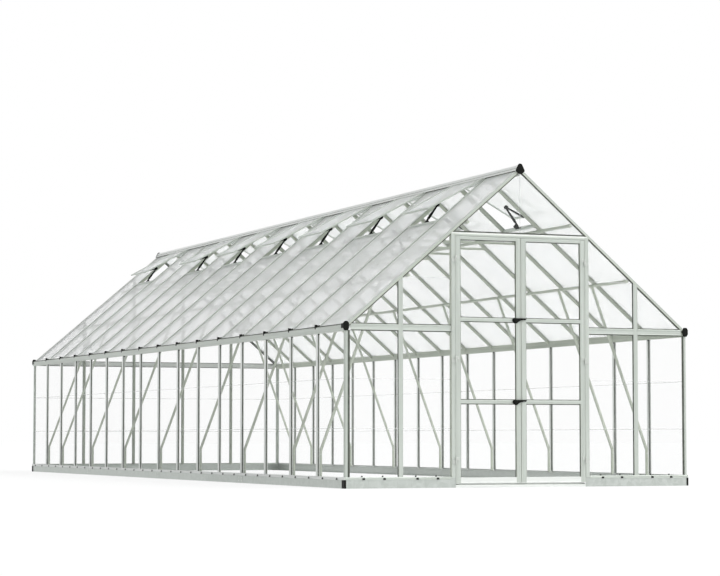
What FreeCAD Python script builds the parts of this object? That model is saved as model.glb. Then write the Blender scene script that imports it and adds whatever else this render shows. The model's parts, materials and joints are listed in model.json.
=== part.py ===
import FreeCAD, Part
import math
import os
from types import SimpleNamespace

import Sketcher

# A long gabled greenhouse: aluminium bars on a steel base, clear wall panes, milky twin-wall
# roof panels, double doors in the front gable and seven hinged vents in each roof slope.
# Frame: +X across the front to the right, +Y from the door gable to the back gable, +Z up.
# Origin: middle of the footprint, at the underside of the base. Millimetres and degrees.

doc = FreeCAD.newDocument("greenhouse")
sheet = doc.addObject("Spreadsheet::Sheet", "sizes")

driving_sizes = [
    ("bay", 610, "spacing of posts and rafters"),
    ("bays_long", 16, "bays along each long wall"),
    ("bays_wide", 5, "bays across a gable"),
    ("eave_height", 1267, "roof plane above the long wall's face"),
    ("ridge_height", 2567, "where the two roof planes meet"),
    ("seat_gap", 0.3, "clearance between seated pieces"),
    ("bar_lengths", 4, "lengths that make up each long bar"),
    ("base_height", 76, "steel base rail"),
    ("base_depth", 55, "its flanges, across the wall"),
    ("base_sheet", 3, "its sheet thickness"),
    ("base_outset", 5, "how far it stands out from the wall's face"),
    ("cover_front", 16, "leg of a base corner cover on the gable"),
    ("cover_side", 58, "its leg on the long wall"),
    ("cover_wall", 3, "its thickness"),
    ("strip_low", 66, "lower edge of the sill strip along the base's top"),
    ("strip_height", 22, "its height"),
    ("strip_sheet", 2, "its thickness"),
    ("clip_length", 22, "pane clip on the sill strip"),
    ("clip_height", 16, "its height"),
    ("clip_reach", 6, "how far it stands out from the strip"),
    ("gable_clip_spread", 88, "front clips, each side of a pane's middle"),
    ("post_width", 36, "outer flange of a wall post"),
    ("post_flange", 3, "thickness of that flange"),
    ("post_web", 12, "thickness of its web"),
    ("post_depth", 25, "whole depth of a wall post"),
    ("corner_leg", 30, "leg of a corner post"),
    ("gable_post_width", 38, "outer flange of a gable post"),
    ("gable_post_place", 1051, "front gable post, from the middle"),
    ("pane_sheet", 3, "clear wall pane"),
    ("pane_course", 391, "height of one course of wall panes"),
    ("gable_joint_rise", 399, "joint in the front gable's upper pane, above the eave"),
    ("rail_drop", 28, "underside of the gable rail, below the eave"),
    ("rail_height", 47, "its face"),
    ("rail_shelf", 5, "its inner shelf"),
    ("beam_drop", 38, "underside of the eave gutter beam, below the eave"),
    ("lip_rise", 10, "top of its outer lip, above the eave"),
    ("beam_inside", 30, "how far it reaches in from the wall's face"),
    ("beam_outside", 12, "how far it reaches out"),
    ("gutter_drop", 17, "floor of the gutter channel, below the eave"),
    ("gutter_inside", 8, "its inner edge, in from the wall's face"),
    ("gutter_wall", 3, "its outer wall"),
    ("connector_width", 49, "eave corner connector"),
    ("connector_inset", 8, "its middle, in from the long wall's face"),
    ("connector_cheek", 45, "its cheek along the gutter beam"),
    ("connector_drop", 35, "its underside, below the eave"),
    ("connector_rise", 38, "its top, above the eave"),
    ("connector_outset", 8, "how far it stands out from the gable"),
    ("bar_width", 36, "outer flange of a rafter"),
    ("bar_flange", 3, "thickness of that flange"),
    ("bar_web", 10, "thickness of its web"),
    ("bar_depth", 30, "web below the roof plane"),
    ("gable_bar_depth", 16, "web of a gable rafter"),
    ("eave_overhang", 2, "roof sheet past the wall's face"),
    ("end_cap_length", 24, "rafter end cap along the flange"),
    ("end_cap_rise", 20, "its height above the flange"),
    ("roof_sheet", 4, "twin-wall roof panel"),
    ("panel_head", 14, "its upper edge, down the slope from the ridge"),
    ("keel_width", 10, "rib under the ridge beam"),
    ("keel_depth", 60, "how far it hangs below the ridge line"),
    ("ridge_wall", 11, "thickness of the ridge beam's skirt"),
    ("ridge_shoulder", 20, "half width of its shoulder"),
    ("ridge_shoulder_rise", 21, "shoulder above the ridge line"),
    ("ridge_crown", 8, "half width of its top"),
    ("ridge_rise", 31, "top above the ridge line"),
    ("ridge_cap_width", 80, "end cap on the ridge beam"),
    ("ridge_cap_neck", 48, "its width at the ridge beam's shoulder"),
    ("ridge_cap_knob", 32, "its width at the top"),
    ("ridge_cap_rise", 41, "its top above the ridge line"),
    ("ridge_cap_drop", 44, "its lowest corner below the ridge line"),
    ("purlin", 20, "square purlin bar"),
    ("low_purlin_place", 1322, "lower purlin, down the slope from the ridge"),
    ("high_purlin_place", 640, "upper purlin, down the slope"),
    ("purlin_end", 32, "purlin's end, in from the gable's face"),
    ("tie_clearance", 29, "collar tie's top, below the upper purlin"),
    ("tie", 20, "square collar tie"),
    ("brace", 20, "square knee brace"),
    ("brace_bend", 290, "height of the bend in a knee brace"),
    ("vent_hinge_place", 45, "vent hinge, down the slope from the ridge"),
    ("vent_hinge_lift", 12, "vent hinge above the roof plane"),
    ("vent_hinge_half", 5.6, "half the thickness of the flap's round-nosed hinge bar"),
    ("vent_hinge_end", 8, "hinge bar, from the hinge line to each edge"),
    ("vent_length", 560, "vent flap, hinge to lower edge"),
    ("vent_width", 590, "vent flap along the ridge"),
    ("vent_bar", 20, "width of its frame bars"),
    ("vent_bar_depth", 14, "depth of its frame bars"),
    ("vent_open", 12, "angle of the flap above the roof, in degrees"),
    ("sill_place", 586, "upper face of the vent sill, down the slope"),
    ("sill_width", 18, "vent sill along the slope"),
    ("sill_depth", 26, "vent sill below the roof plane"),
    ("sill_rise", 3, "vent sill above the roof plane"),
    ("sill_lip", 10, "lip of the sill over the panel"),
    ("link", 8, "thickness of a stay link"),
    ("link_width", 14, "width of a stay link"),
    ("link_spacing", 4, "gap between the two links, side by side"),
    ("arm_foot", 522, "bend of the fixed arm, along the flap"),
    ("arm_drop", 34, "that bend below the flap's middle"),
    ("elbow_place", 337, "elbow pin, along the flap"),
    ("elbow_drop", 43, "elbow pin below the flap's middle"),
    ("stay_foot_place", 570, "stay's foot pin, down the slope from the ridge"),
    ("stay_foot_drop", 4, "that pin below the roof plane"),
    ("stay_slot", 10, "travel of the foot pin in its slot"),
    ("stay_end", 3, "stay past the end of its slot"),
    ("pin_radius", 3, "pins of the stay"),
    ("pin_clearance", 0.8, "play of a pin in its eye"),
    ("door_half", 580, "inner face of a door jamb, from the middle"),
    ("jamb_width", 35, "door jamb"),
    ("jamb_depth", 40, "jamb and head, front to back"),
    ("door_outset", 8, "front face of the doors, out from the gable"),
    ("door_gap", 2, "clearance round a door leaf"),
    ("head_height", 18, "door head"),
    ("leaf_low", 36, "underside of a door leaf"),
    ("leaf_depth", 25, "door leaf, front to back"),
    ("stile", 42, "upright of a door leaf"),
    ("top_rail", 26, "top rail of a leaf"),
    ("mid_rail", 30, "middle rails of a leaf"),
    ("bottom_rail", 44, "bottom rail of a leaf"),
    ("upper_rail_low", 1322, "underside of the upper middle rail"),
    ("lower_rail_low", 666, "underside of the lower middle rail"),
    ("threshold_height", 33, "door threshold"),
    ("threshold_nose", 18, "height of its front edge"),
    ("hinge_radius", 6.5, "barrel of a door hinge"),
    ("hinge_pin", 3, "its pin"),
    ("hinge_half", 25, "height of half a hinge barrel"),
    ("hinge_plate", 2, "thickness of its plates"),
    ("hinge_reach", 24, "width of its plates"),
    ("hinge_margin", 180, "outer hinges, in from the ends of a leaf"),
    ("latch_place", 57, "latch spindle, from the middle of the doors"),
    ("latch_thickness", 14, "latch lever, front to back"),
    ("latch_bulb", 17, "half height of the lever's round end"),
    ("latch_tip", 10, "height of the lever's tip"),
    ("latch_tip_rise", 12, "middle of the tip above the spindle"),
    ("latch_spindle", 5, "radius of the spindle"),
    ("latch_knob", 12, "half height of the inner turn"),
    ("keeper_reach", 40, "keeper on the other leaf"),
    ("keeper_thickness", 10, "keeper, front to back"),
]

for row, (word, number, meaning) in enumerate(driving_sizes, start=1):
    sheet.set(f"A{row}", word)
    sheet.set(f"B{row}", str(number))
    sheet.setAlias(f"B{row}", word)
    sheet.set(f"C{row}", meaning)
doc.recompute()


class Size:
    """A number together with the spreadsheet formula that gives it."""

    def __init__(self, value, formula):
        self.value = value
        self.formula = formula

    def __add__(self, other):
        other = as_size(other)
        return Size(self.value + other.value, f"({self.formula} + {other.formula})")

    def __sub__(self, other):
        other = as_size(other)
        return Size(self.value - other.value, f"({self.formula} - {other.formula})")

    def __mul__(self, other):
        other = as_size(other)
        return Size(self.value * other.value, f"({self.formula} * {other.formula})")

    def __truediv__(self, other):
        other = as_size(other)
        return Size(self.value / other.value, f"({self.formula} / {other.formula})")

    def __neg__(self):
        return Size(-self.value, f"(0 - {self.formula})")

    def __radd__(self, other):
        return as_size(other) + self

    def __rsub__(self, other):
        return as_size(other) - self

    def __rmul__(self, other):
        return as_size(other) * self


def as_size(number):
    return number if isinstance(number, Size) else Size(number, f"({number})")


def cosine(angle):
    return Size(math.cos(math.radians(angle.value)), f"cos({angle.formula})")


def sine(angle):
    return Size(math.sin(math.radians(angle.value)), f"sin({angle.formula})")


def tangent(angle):
    return Size(math.tan(math.radians(angle.value)), f"tan({angle.formula})")


def angle_of(rise, run):
    degrees = math.degrees(math.atan2(rise.value, run.value))
    return Size(degrees, f"(atan2({rise.formula}; {run.formula}) / 1 deg)")


size = SimpleNamespace(**{word: Size(sheet.get(word), f"sizes.{word}") for word, *_ in driving_sizes})

# Values worked out from the driving sizes
gap = size.seat_gap
half_width = size.bay * size.bays_wide / 2
half_length = size.bay * size.bays_long / 2
bays_long = int(size.bays_long.value)
bays_wide = int(size.bays_wide.value)
lengths = int(size.bar_lengths.value)
roof_angle = angle_of(size.ridge_height - size.eave_height, half_width)
roof_cos = cosine(roof_angle)
roof_sin = sine(roof_angle)
roof_tan = tangent(roof_angle)
pane_face = size.post_flange + gap
pane_back = pane_face + size.pane_sheet
gable_web = size.bar_web / 2
beam_low = size.eave_height - size.beam_drop
gutter_floor = size.eave_height - size.gutter_drop
rail_low = size.eave_height - size.rail_drop
rail_top = rail_low + size.rail_height
shelf_low = rail_low + (size.rail_height - size.rail_shelf) / 2
strip_face = size.base_outset + gap + size.strip_sheet
connector_edge = half_width - size.connector_inset - size.connector_width / 2
door_front = half_length + size.door_outset
right, left = 1, -1
front, back = -1, 1


def roof_height(across):
    return size.ridge_height - across * roof_tan


def on_roof(along, lift):
    """Point of the right slope: along from the ridge line, lift above the roof plane."""
    return along * roof_cos + lift * roof_sin, size.ridge_height - along * roof_sin + lift * roof_cos


def gable_ceiling(across):
    """Height under the gable rafter at a distance from the middle."""
    return roof_height(across) - (size.gable_bar_depth + gap) / roof_cos


def gable_edge(level):
    """Distance from the middle where the underside of the gable rafter crosses a level."""
    return (gable_ceiling(as_size(0)) - level) / roof_tan


head_top = gable_ceiling(size.door_half + size.jamb_width) - gap
leaf_top = head_top - size.head_height - size.door_gap


def grid_line(index):
    return size.bay * index - half_length


def bay_middle(index):
    return size.bay * (index + 0.5) - half_length


def octagon(x, y, radius):
    points = []
    for corner in range(8):
        turn = math.radians(45 * corner + 22.5)
        points.append((x + radius * round(math.cos(turn), 6), y + radius * round(math.sin(turn), 6)))
    return points


class Round:
    """Circle outline, for a pin."""

    def __init__(self, x, y, radius):
        self.x, self.y, self.radius = as_size(x), as_size(y), as_size(radius)


class Nose(Round):
    """Outline with a quarter-round nose about a point and a flat end further along X."""

    def __init__(self, x, y, half, end):
        super().__init__(x, y, half * math.sqrt(2))
        self.half, self.end = as_size(half), as_size(end)


def rectangle(x_low, x_high, y_low, y_high):
    return [(x_low, y_low), (x_high, y_low), (x_high, y_high), (x_low, y_high)]


# Modelling helpers: a body per piece, an outline bound to the sheet, a pad, a placed copy, a node

def new_body(name):
    return doc.addObject("PartDesign::Body", name)


def draw(body, plane, outlines):
    sketch = body.newObject("Sketcher::SketchObject", body.Name + "_outline")
    support = [item for item in body.Origin.OriginFeatures if item.Role == plane]
    sketch.AttachmentSupport = [(support[0], "")]
    sketch.MapMode = "FlatFace"
    for points in outlines:
        if isinstance(points, Nose):
            draw_nose(sketch, points)
            continue
        if isinstance(points, Round):
            draw_circle(sketch, points)
            continue
        points = [(as_size(x), as_size(y)) for x, y in points]
        corners = [FreeCAD.Vector(x.value, y.value, 0) for x, y in points]
        first = sketch.GeometryCount
        count = len(points)
        for index in range(count):
            sketch.addGeometry(Part.LineSegment(corners[index], corners[(index + 1) % count]))
        for index in range(count):
            follower = first + (index + 1) % count
            sketch.addConstraint(Sketcher.Constraint("Coincident", first + index, 2, follower, 1))
        for index, point in enumerate(points):
            for kind, place in zip(("DistanceX", "DistanceY"), point):
                bind_rule(sketch, Sketcher.Constraint(kind, -1, 1, first + index, 1, place.value), place)
    return sketch


def draw_circle(sketch, circle):
    middle = FreeCAD.Vector(circle.x.value, circle.y.value, 0)
    shape = Part.Circle(middle, FreeCAD.Vector(0, 0, 1), circle.radius.value)
    number = sketch.addGeometry(shape)
    for kind, place in (("DistanceX", circle.x), ("DistanceY", circle.y)):
        bind_rule(sketch, Sketcher.Constraint(kind, -1, 1, number, 3, place.value), place)
    bind_rule(sketch, Sketcher.Constraint("Radius", number, circle.radius.value), circle.radius)


def draw_nose(sketch, nose):
    x, y, half, end = (size.value for size in (nose.x, nose.y, nose.half, nose.end))
    circle = Part.Circle(FreeCAD.Vector(x, y, 0), FreeCAD.Vector(0, 0, 1), nose.radius.value)
    arc = sketch.addGeometry(Part.ArcOfCircle(circle, math.pi * 3 / 4, math.pi * 5 / 4))
    corners = [FreeCAD.Vector(*spot, 0) for spot in ((x - half, y - half), (end, y - half), (end, y + half),
                                                     (x - half, y + half))]
    lines = [sketch.addGeometry(Part.LineSegment(*pair)) for pair in zip(corners, corners[1:])]
    for first, second in zip([arc, *lines], [*lines, arc]):
        sketch.addConstraint(Sketcher.Constraint("Coincident", first, 2, second, 1))
    for kind, item, spot, place in (
            ("DistanceX", arc, 3, nose.x), ("DistanceY", arc, 3, nose.y),
            ("DistanceY", arc, 1, nose.y + nose.half), ("DistanceY", arc, 2, nose.y - nose.half),
            ("DistanceX", lines[1], 1, nose.end), ("DistanceY", lines[1], 1, nose.y - nose.half),
            ("DistanceX", lines[1], 2, nose.end), ("DistanceY", lines[1], 2, nose.y + nose.half)):
        bind_rule(sketch, Sketcher.Constraint(kind, -1, 1, item, spot, place.value), place)
    bind_rule(sketch, Sketcher.Constraint("Radius", arc, nose.radius.value), nose.radius)


def bind_rule(sketch, rule, place):
    number = sketch.addConstraint(rule)
    sketch.setExpression(f"Constraints[{number}]", place.formula)


def extrude(body, kind, plane, outlines, start, end):
    """Pad or pocket between two places along the plane's world axis: Z, Y or X."""
    start, end = as_size(start), as_size(end)
    sketch = draw(body, plane, outlines)
    away = plane == "XZ_Plane"
    offset = -start if away else start
    sketch.setExpression("AttachmentOffset.Base.z", offset.formula)
    feature = body.newObject(f"PartDesign::{kind}", f"{body.Name}_{kind.lower()}")
    feature.Profile = sketch
    feature.Reversed = away if kind == "Pad" else not away
    feature.setExpression("Length", (end - start).formula)
    doc.recompute()
    return feature


def pad(body, plane, outline, start, end, holes=()):
    return extrude(body, "Pad", plane, [outline, *holes], start, end)


def bar(name, plane, outline, start, end):
    body = new_body(name)
    pad(body, plane, outline, start, end)
    return body


def gable_pad(body, facing, outline, near, far):
    """Pad in a gable, between two depths in from the gable's outer face."""
    near, far = as_size(near), as_size(far)
    if facing == front:
        return pad(body, "XZ_Plane", outline, near - half_length, far - half_length)
    return pad(body, "XZ_Plane", outline, half_length - far, half_length - near)


def gable_bar(name, facing, outline, near, far):
    body = new_body(name)
    gable_pad(body, facing, outline, near, far)
    return body


def bind_place(item, x, y, z, yaw=0, pitch=0):
    x, y, z, yaw, pitch = (as_size(value).formula for value in (x, y, z, yaw, pitch))
    item.setExpression("Placement", f"placement(vector({x}; {y}; {z}); rotation({yaw}; {pitch}; 0))")


def copy_of(master, x=0, y=0, z=0, yaw=0, pitch=0):
    copy = doc.addObject("App::Link", master.Name + "_copy")
    copy.LinkedObject = master
    bind_place(copy, x, y, z, yaw, pitch)
    return copy


def both_sides(master, places):
    """Copies along the greenhouse, on the right and, turned about Z, on the left."""
    return [copy_of(master, y=place, yaw=yaw) for place in places for yaw in (0, 180)]


nodes = []


def node(label, pieces):
    group = doc.addObject("Part::Compound", label)
    group.Label = label
    group.Links = pieces
    nodes.append(group)
    return group


def lengths_along(reach):
    """Middles and the half length of the lengths that fill -reach to reach, end to end."""
    step = reach * 2 / lengths
    middles = [step * (index + 0.5) - reach for index in range(lengths)]
    return middles, step / 2 - gap


# Base: steel channel rails, plastic corner covers and pane clips

def channel(outer, inward):
    """Outline of the base channel, open towards the inside of the greenhouse."""
    inner = outer + inward * size.base_depth
    lining = outer + inward * size.base_sheet
    top, sheet_top = size.base_height, size.base_height - size.base_sheet
    return [(inner, 0), (outer, 0), (outer, top), (inner, top),
            (inner, sheet_top), (lining, sheet_top), (lining, size.base_sheet), (inner, size.base_sheet)]


def make_base():
    middles, half = lengths_along(half_length + size.base_outset)
    side = bar("base_side_rail", "XZ_Plane", channel(half_width + size.base_outset, -1), -half, half)
    inner_end = half_width + size.base_outset - size.base_depth - gap
    rear_outer = half_length + size.base_outset
    rails = both_sides(side, middles)
    rails.append(bar("base_front_rail_right", "YZ_Plane", channel(-rear_outer, 1), size.door_half, inner_end))
    rails.append(bar("base_front_rail_left", "YZ_Plane", channel(-rear_outer, 1), -inner_end, -size.door_half))
    rails.append(bar("base_back_rail", "YZ_Plane", channel(rear_outer, -1), -inner_end, inner_end))
    node("base_rails", rails)


def angle_section(across, along, wall, hand):
    """L outline with its outer corner at the origin, legs along the gable and the long wall."""
    inward = -hand
    return [(0, 0), (0, along), (inward * wall, along), (inward * wall, wall),
            (inward * across, wall), (inward * across, 0)]


def corner_pair(piece, hand, out=0):
    """A front corner's piece and, turned about Z, the same piece at the opposite back corner."""
    x, y = half_width + out, half_length + out
    return [copy_of(piece, hand * x, -y), copy_of(piece, -hand * x, y, 0, 180)]


def make_corners():
    covers, posts = [], []
    cover_out = size.base_outset + size.cover_wall + gap
    for hand, word in ((right, "right"), (left, "left")):
        outline = angle_section(size.cover_front, size.cover_side, size.cover_wall, hand)
        cover = bar(f"base_corner_cover_{word}", "XY_Plane", outline, 0, size.strip_low - gap)
        covers += corner_pair(cover, hand, cover_out)
        outline = angle_section(size.corner_leg, size.corner_leg, size.post_flange, hand)
        post = bar(f"corner_post_{word}", "XY_Plane", outline, size.base_height, beam_low)
        posts += corner_pair(post, hand)
    node("base_corner_covers", covers)
    node("corner_posts", posts)


def make_strips():
    """Flat strips that cover the joint between the base and the panes' lower edges."""
    low, high = size.strip_low, size.strip_low + size.strip_height
    middles, half = lengths_along(half_length + strip_face)
    outer = half_width + strip_face
    side = bar("sill_strip_side", "XZ_Plane", rectangle(outer - size.strip_sheet, outer, low, high), -half, half)
    strips = both_sides(side, middles)
    near, far = half_length + strip_face - size.strip_sheet, half_length + strip_face
    jamb_edge, corner = size.door_half + size.jamb_width + gap, half_width + size.base_outset
    forward, rearward = rectangle(-far, -near, low, high), rectangle(near, far, low, high)
    strips.append(bar("sill_strip_front_right", "YZ_Plane", forward, jamb_edge, corner))
    strips.append(bar("sill_strip_front_left", "YZ_Plane", forward, -corner, -jamb_edge))
    strips.append(bar("sill_strip_back", "YZ_Plane", rearward, -corner, corner))
    node("sill_strips", strips)


def make_clips():
    strip_side = half_width + strip_face + gap
    tip = strip_side + size.clip_reach
    low, top = size.strip_low, size.strip_low + size.clip_height
    outline = [(strip_side, low), (tip, low), (strip_side, top)]
    clip = bar("base_clip", "XZ_Plane", outline, -size.clip_length / 2, size.clip_length / 2)
    quarters = [bay_middle(index) + size.bay / 4 * way for index in range(bays_long) for way in (-1, 1)]
    clips = both_sides(clip, quarters)
    reach = half_length - half_width
    for index in range(bays_wide):
        for way in (-1, 1):
            place = size.bay * (index + 0.5) - half_width + size.bay / 4 * way
            clips.append(copy_of(clip, place, reach, 0, 90))
    jamb_edge = size.door_half + size.jamb_width
    half_post = size.gable_post_width / 2
    inner_pane = (jamb_edge + size.gable_post_place - half_post) / 2
    outer_pane = (size.gable_post_place + half_post + half_width - size.corner_leg) / 2
    for middle in (inner_pane, outer_pane):
        for spread in (-size.gable_clip_spread, size.gable_clip_spread):
            for side in (right, left):
                clips.append(copy_of(clip, side * (middle + spread), -reach, 0, 270))
    node("base_clips", clips)


# Walls: posts, gable posts, rails, eave beams and their plastic connectors

def make_wall_posts():
    face, lining, inside = half_width, half_width - size.post_flange, half_width - size.post_depth
    wide, narrow = size.post_width / 2, size.post_web / 2
    outline = [(face, -wide), (face, wide), (lining, wide), (lining, narrow),
               (inside, narrow), (inside, -narrow), (lining, -narrow), (lining, -wide)]
    post = bar("wall_post", "XY_Plane", outline, size.base_height, beam_low)
    node("wall_posts", both_sides(post, [grid_line(index) for index in range(1, bays_long)]))


def gable_post(name, facing, side, place):
    body = new_body(name)
    for half, near, far in ((size.gable_post_width / 2, 0, size.post_flange),
                            (size.post_web / 2, size.post_flange, size.post_depth)):
        inner, outer = place - half, place + half
        outline = [(side * inner, size.base_height), (side * outer, size.base_height),
                   (side * outer, gable_ceiling(outer)), (side * inner, gable_ceiling(inner))]
        gable_pad(body, facing, outline, near, far)
    return body


def back_post_places():
    """Distances from the middle of the back gable's posts."""
    places = [size.bay * index - half_width for index in range(1, bays_wide)]
    return [place for place in places if place.value > 0]


def make_gable_posts():
    posts = []
    for side, word in ((right, "right"), (left, "left")):
        posts.append(gable_post(f"front_gable_post_{word}", front, side, size.gable_post_place))
        for number, place in enumerate(back_post_places(), start=1):
            posts.append(gable_post(f"back_gable_post_{word}_{number}", back, side, place))
    node("gable_posts", posts)


def gable_rail(name, facing, low, high):
    body = new_body(name)
    gable_pad(body, facing, rectangle(low, high, rail_low, rail_top), 0, size.post_flange)
    gable_pad(body, facing, rectangle(low, high, shelf_low, shelf_low + size.rail_shelf),
              size.post_flange, size.post_depth)
    return body


def make_gable_rails():
    half_post = size.gable_post_width / 2 + gap
    corner = gable_edge(rail_top)
    jamb_edge = size.door_half + size.jamb_width + gap
    rails = []
    back_edges = back_post_places()
    for side, word in ((right, "right"), (left, "left")):
        spans = [(front, jamb_edge, size.gable_post_place - half_post),
                 (front, size.gable_post_place + half_post, corner)]
        for inner, outer in zip(back_edges, back_edges[1:]):
            spans.append((back, inner + half_post, outer - half_post))
        spans.append((back, back_edges[-1] + half_post, corner))
        for number, (facing, inner, outer) in enumerate(spans, start=1):
            low, high = (inner, outer) if side == right else (-outer, -inner)
            rails.append(gable_rail(f"gable_rail_{word}_{number}", facing, low, high))
    reach = back_edges[0] - half_post
    rails.append(gable_rail("gable_rail_middle", back, -reach, reach))
    node("gable_rails", rails)


def make_eave_beams():
    inside, outside = half_width - size.beam_inside, half_width + size.beam_outside
    trough_in, trough_out = half_width - size.gutter_inside, outside - size.gutter_wall
    lip = size.eave_height + size.lip_rise
    seat = (size.roof_sheet + gap * 2) / roof_cos
    outline = [(inside, beam_low), (outside, beam_low), (outside, lip),
               (trough_out, lip), (trough_out, gutter_floor),
               (trough_in, gutter_floor), (trough_in, roof_height(trough_in) - seat),
               (inside, roof_height(inside) - seat)]
    middles, half = lengths_along(half_length - gable_web - gap)
    node("eave_beams", both_sides(bar("eave_beam", "XZ_Plane", outline, -half, half), middles))
    half_hub = size.connector_width / 2
    low, high = size.eave_height - size.connector_drop, size.eave_height + size.connector_rise
    middle, shoulder = (low + high) / 2, (high - low) / 4
    cheek_in = size.beam_outside + gap
    cheek_out = half_hub - size.connector_inset
    hubs = []
    for hand, word in ((right, "right"), (left, "left")):
        octagonal = mirrored([(half_hub / 2, low), (half_hub, middle - shoulder), (half_hub, middle + shoulder),
                              (half_hub / 2, high)])
        outline = [(x - hand * size.connector_inset, z) for x, z in octagonal]
        cheek = [(hand * x, z) for x, z in rectangle(cheek_in, cheek_out, middle - shoulder, middle + shoulder)]
        hub = new_body(f"eave_connector_{word}")
        pad(hub, "XZ_Plane", outline, -size.connector_outset, gable_web)
        pad(hub, "XZ_Plane", cheek, gable_web, size.connector_cheek)
        hubs += corner_pair(hub, hand)
    node("eave_connectors", hubs)


# Roof: rafters, ridge, purlins, ties, braces and panels

def rafter_web(side, start, end, depth):
    """Web outline between two distances from the middle, with plumb ends."""
    rise, fall = gap / roof_cos, depth / roof_cos
    return [(side * start, roof_height(start) - fall), (side * end, roof_height(end) - fall),
            (side * end, roof_height(end) + rise), (side * start, roof_height(start) + rise)]


def rafter_flange(side, start, end):
    rise = gap / roof_cos
    top = (gap + size.bar_flange) / roof_cos
    return [(side * start, roof_height(start) + rise), (side * end, roof_height(end) + rise),
            (side * end, roof_height(end) + top), (side * start, roof_height(start) + top)]


def make_rafters():
    head = size.keel_width / 2 + gap
    body = new_body("rafter")
    flange_end = half_width + size.eave_overhang
    pad(body, "XZ_Plane", rafter_flange(right, head, flange_end), -size.bar_width / 2, size.bar_width / 2)
    web_end = half_width - size.beam_inside - gap
    pad(body, "XZ_Plane", rafter_web(right, head, web_end, size.bar_depth),
        -size.bar_web / 2, size.bar_web / 2)
    lines = [grid_line(index) for index in range(1, bays_long)]
    rafters = both_sides(body, lines)
    foot = connector_edge - gap
    for facing, gable in ((front, "front"), (back, "back")):
        for side, word in ((right, "right"), (left, "left")):
            gable_rafter = new_body(f"{gable}_gable_rafter_{word}")
            gable_pad(gable_rafter, facing, rafter_flange(side, head, foot), 0, size.bar_width)
            gable_pad(gable_rafter, facing, rafter_web(side, head, foot, size.gable_bar_depth), 0, gable_web)
            rafters.append(gable_rafter)
    node("rafters", rafters)
    tail = flange_end - size.end_cap_length
    over = (gap * 2 + size.bar_flange) / roof_cos
    front_face = half_width + size.beam_outside - size.gutter_wall - gap
    outline = [(flange_end + gap, gutter_floor + gap), (front_face, gutter_floor + gap),
               (front_face, roof_height(front_face) + over + size.end_cap_rise),
               (tail, roof_height(tail) + over + size.end_cap_rise / 2),
               (tail, roof_height(tail) + over), (flange_end + gap, roof_height(flange_end + gap) + over)]
    cap = bar("rafter_end_cap", "XZ_Plane", outline, -size.bar_width / 2, size.bar_width / 2)
    node("rafter_end_caps", both_sides(cap, lines))


def mirrored(points):
    """Closed outline from its right half, listed from bottom to top."""
    return points + [(-x, y) for x, y in reversed(points)]


def make_ridge():
    half_keel = size.keel_width / 2
    skirt = size.vent_hinge_place - size.vent_hinge_end - gap
    under = gap * 2 + size.bar_flange
    keel_top = roof_height(half_keel) + under / roof_cos
    top = size.ridge_height
    half_outline = [(half_keel, top - size.keel_depth), (half_keel, keel_top), on_roof(skirt, under),
                    on_roof(skirt, under + size.ridge_wall),
                    (size.ridge_shoulder, top + size.ridge_shoulder_rise),
                    (size.ridge_crown, top + size.ridge_rise)]
    middles, half = lengths_along(half_length - gap)
    beam = bar("ridge_length", "XZ_Plane", mirrored(half_outline), -half, half)
    node("ridge_beam", [copy_of(beam, y=middle) for middle in middles])
    half_cap = size.ridge_cap_width / 2
    half_neck, half_knob = size.ridge_cap_neck / 2, size.ridge_cap_knob / 2
    cap_outline = [(half_cap / 3, top - size.ridge_cap_drop), (half_cap, top - size.ridge_cap_drop / 2),
                   (half_cap, top - size.ridge_cap_drop / 4), (half_neck, top + size.ridge_shoulder_rise),
                   (half_knob, top + size.ridge_cap_rise / 2 + size.ridge_rise / 2),
                   (half_knob / 2, top + size.ridge_cap_rise)]
    cap = bar("ridge_end_cap", "XZ_Plane", mirrored(cap_outline), -size.connector_outset, 0)
    node("ridge_end_caps", [copy_of(cap, y=-half_length), copy_of(cap, y=half_length, yaw=180)])


def make_purlins():
    top = -(size.bar_depth + gap)
    middles, half = lengths_along(half_length - size.purlin_end)
    purlins = []
    for name, place in (("low_purlin", size.low_purlin_place), ("high_purlin", size.high_purlin_place)):
        outline = [on_roof(place - size.purlin / 2, top), on_roof(place + size.purlin / 2, top),
                   on_roof(place + size.purlin / 2, top - size.purlin),
                   on_roof(place - size.purlin / 2, top - size.purlin)]
        purlins += both_sides(bar(name, "XZ_Plane", outline, -half, half), middles)
    node("purlins", purlins)


def make_ties():
    purlin_corner = on_roof(size.high_purlin_place + size.purlin / 2, -(size.bar_depth + gap + size.purlin))
    high = purlin_corner[1] - size.tie_clearance
    low = high - size.tie
    under = (size.bar_depth + gap) / roof_cos
    low_reach, high_reach = ((size.ridge_height - under - level) / roof_tan for level in (low, high))
    outline = [(-low_reach, low), (low_reach, low), (high_reach, high), (-high_reach, high)]
    tie = bar("collar_tie", "XZ_Plane", outline, -size.tie / 2, size.tie / 2)
    node("collar_ties", [copy_of(tie, y=grid_line(index)) for index in range(1, bays_long)])


def braced_lines():
    """The first and last inner grid lines and every second one between them."""
    return [1, *range(2, bays_long - 1, 2), bays_long - 1]


def make_braces():
    half = size.brace / 2
    foot = half_width - size.post_depth - gap - half
    top_lift = -(size.bar_depth + size.purlin + gap * 2)
    top_x, top_z = on_roof(size.low_purlin_place, top_lift)
    lean = angle_of(foot - top_x, top_z - size.brace_bend)
    miter = half * tangent(lean / 2)
    spread = half / cosine(roof_angle + lean)
    outline = [(foot - half, size.base_height), (foot + half, size.base_height),
               (foot + half, size.brace_bend + miter), on_roof(size.low_purlin_place + spread, top_lift),
               on_roof(size.low_purlin_place - spread, top_lift), (foot - half, size.brace_bend - miter)]
    brace = bar("knee_brace", "XZ_Plane", outline, -half, half)
    node("knee_braces", both_sides(brace, [grid_line(index) for index in braced_lines()]))


def vent_bays():
    """Every second bay from the front, and one vent near the back gable."""
    return [*range(1, bays_long - 4, 2), bays_long - 2]


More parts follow.
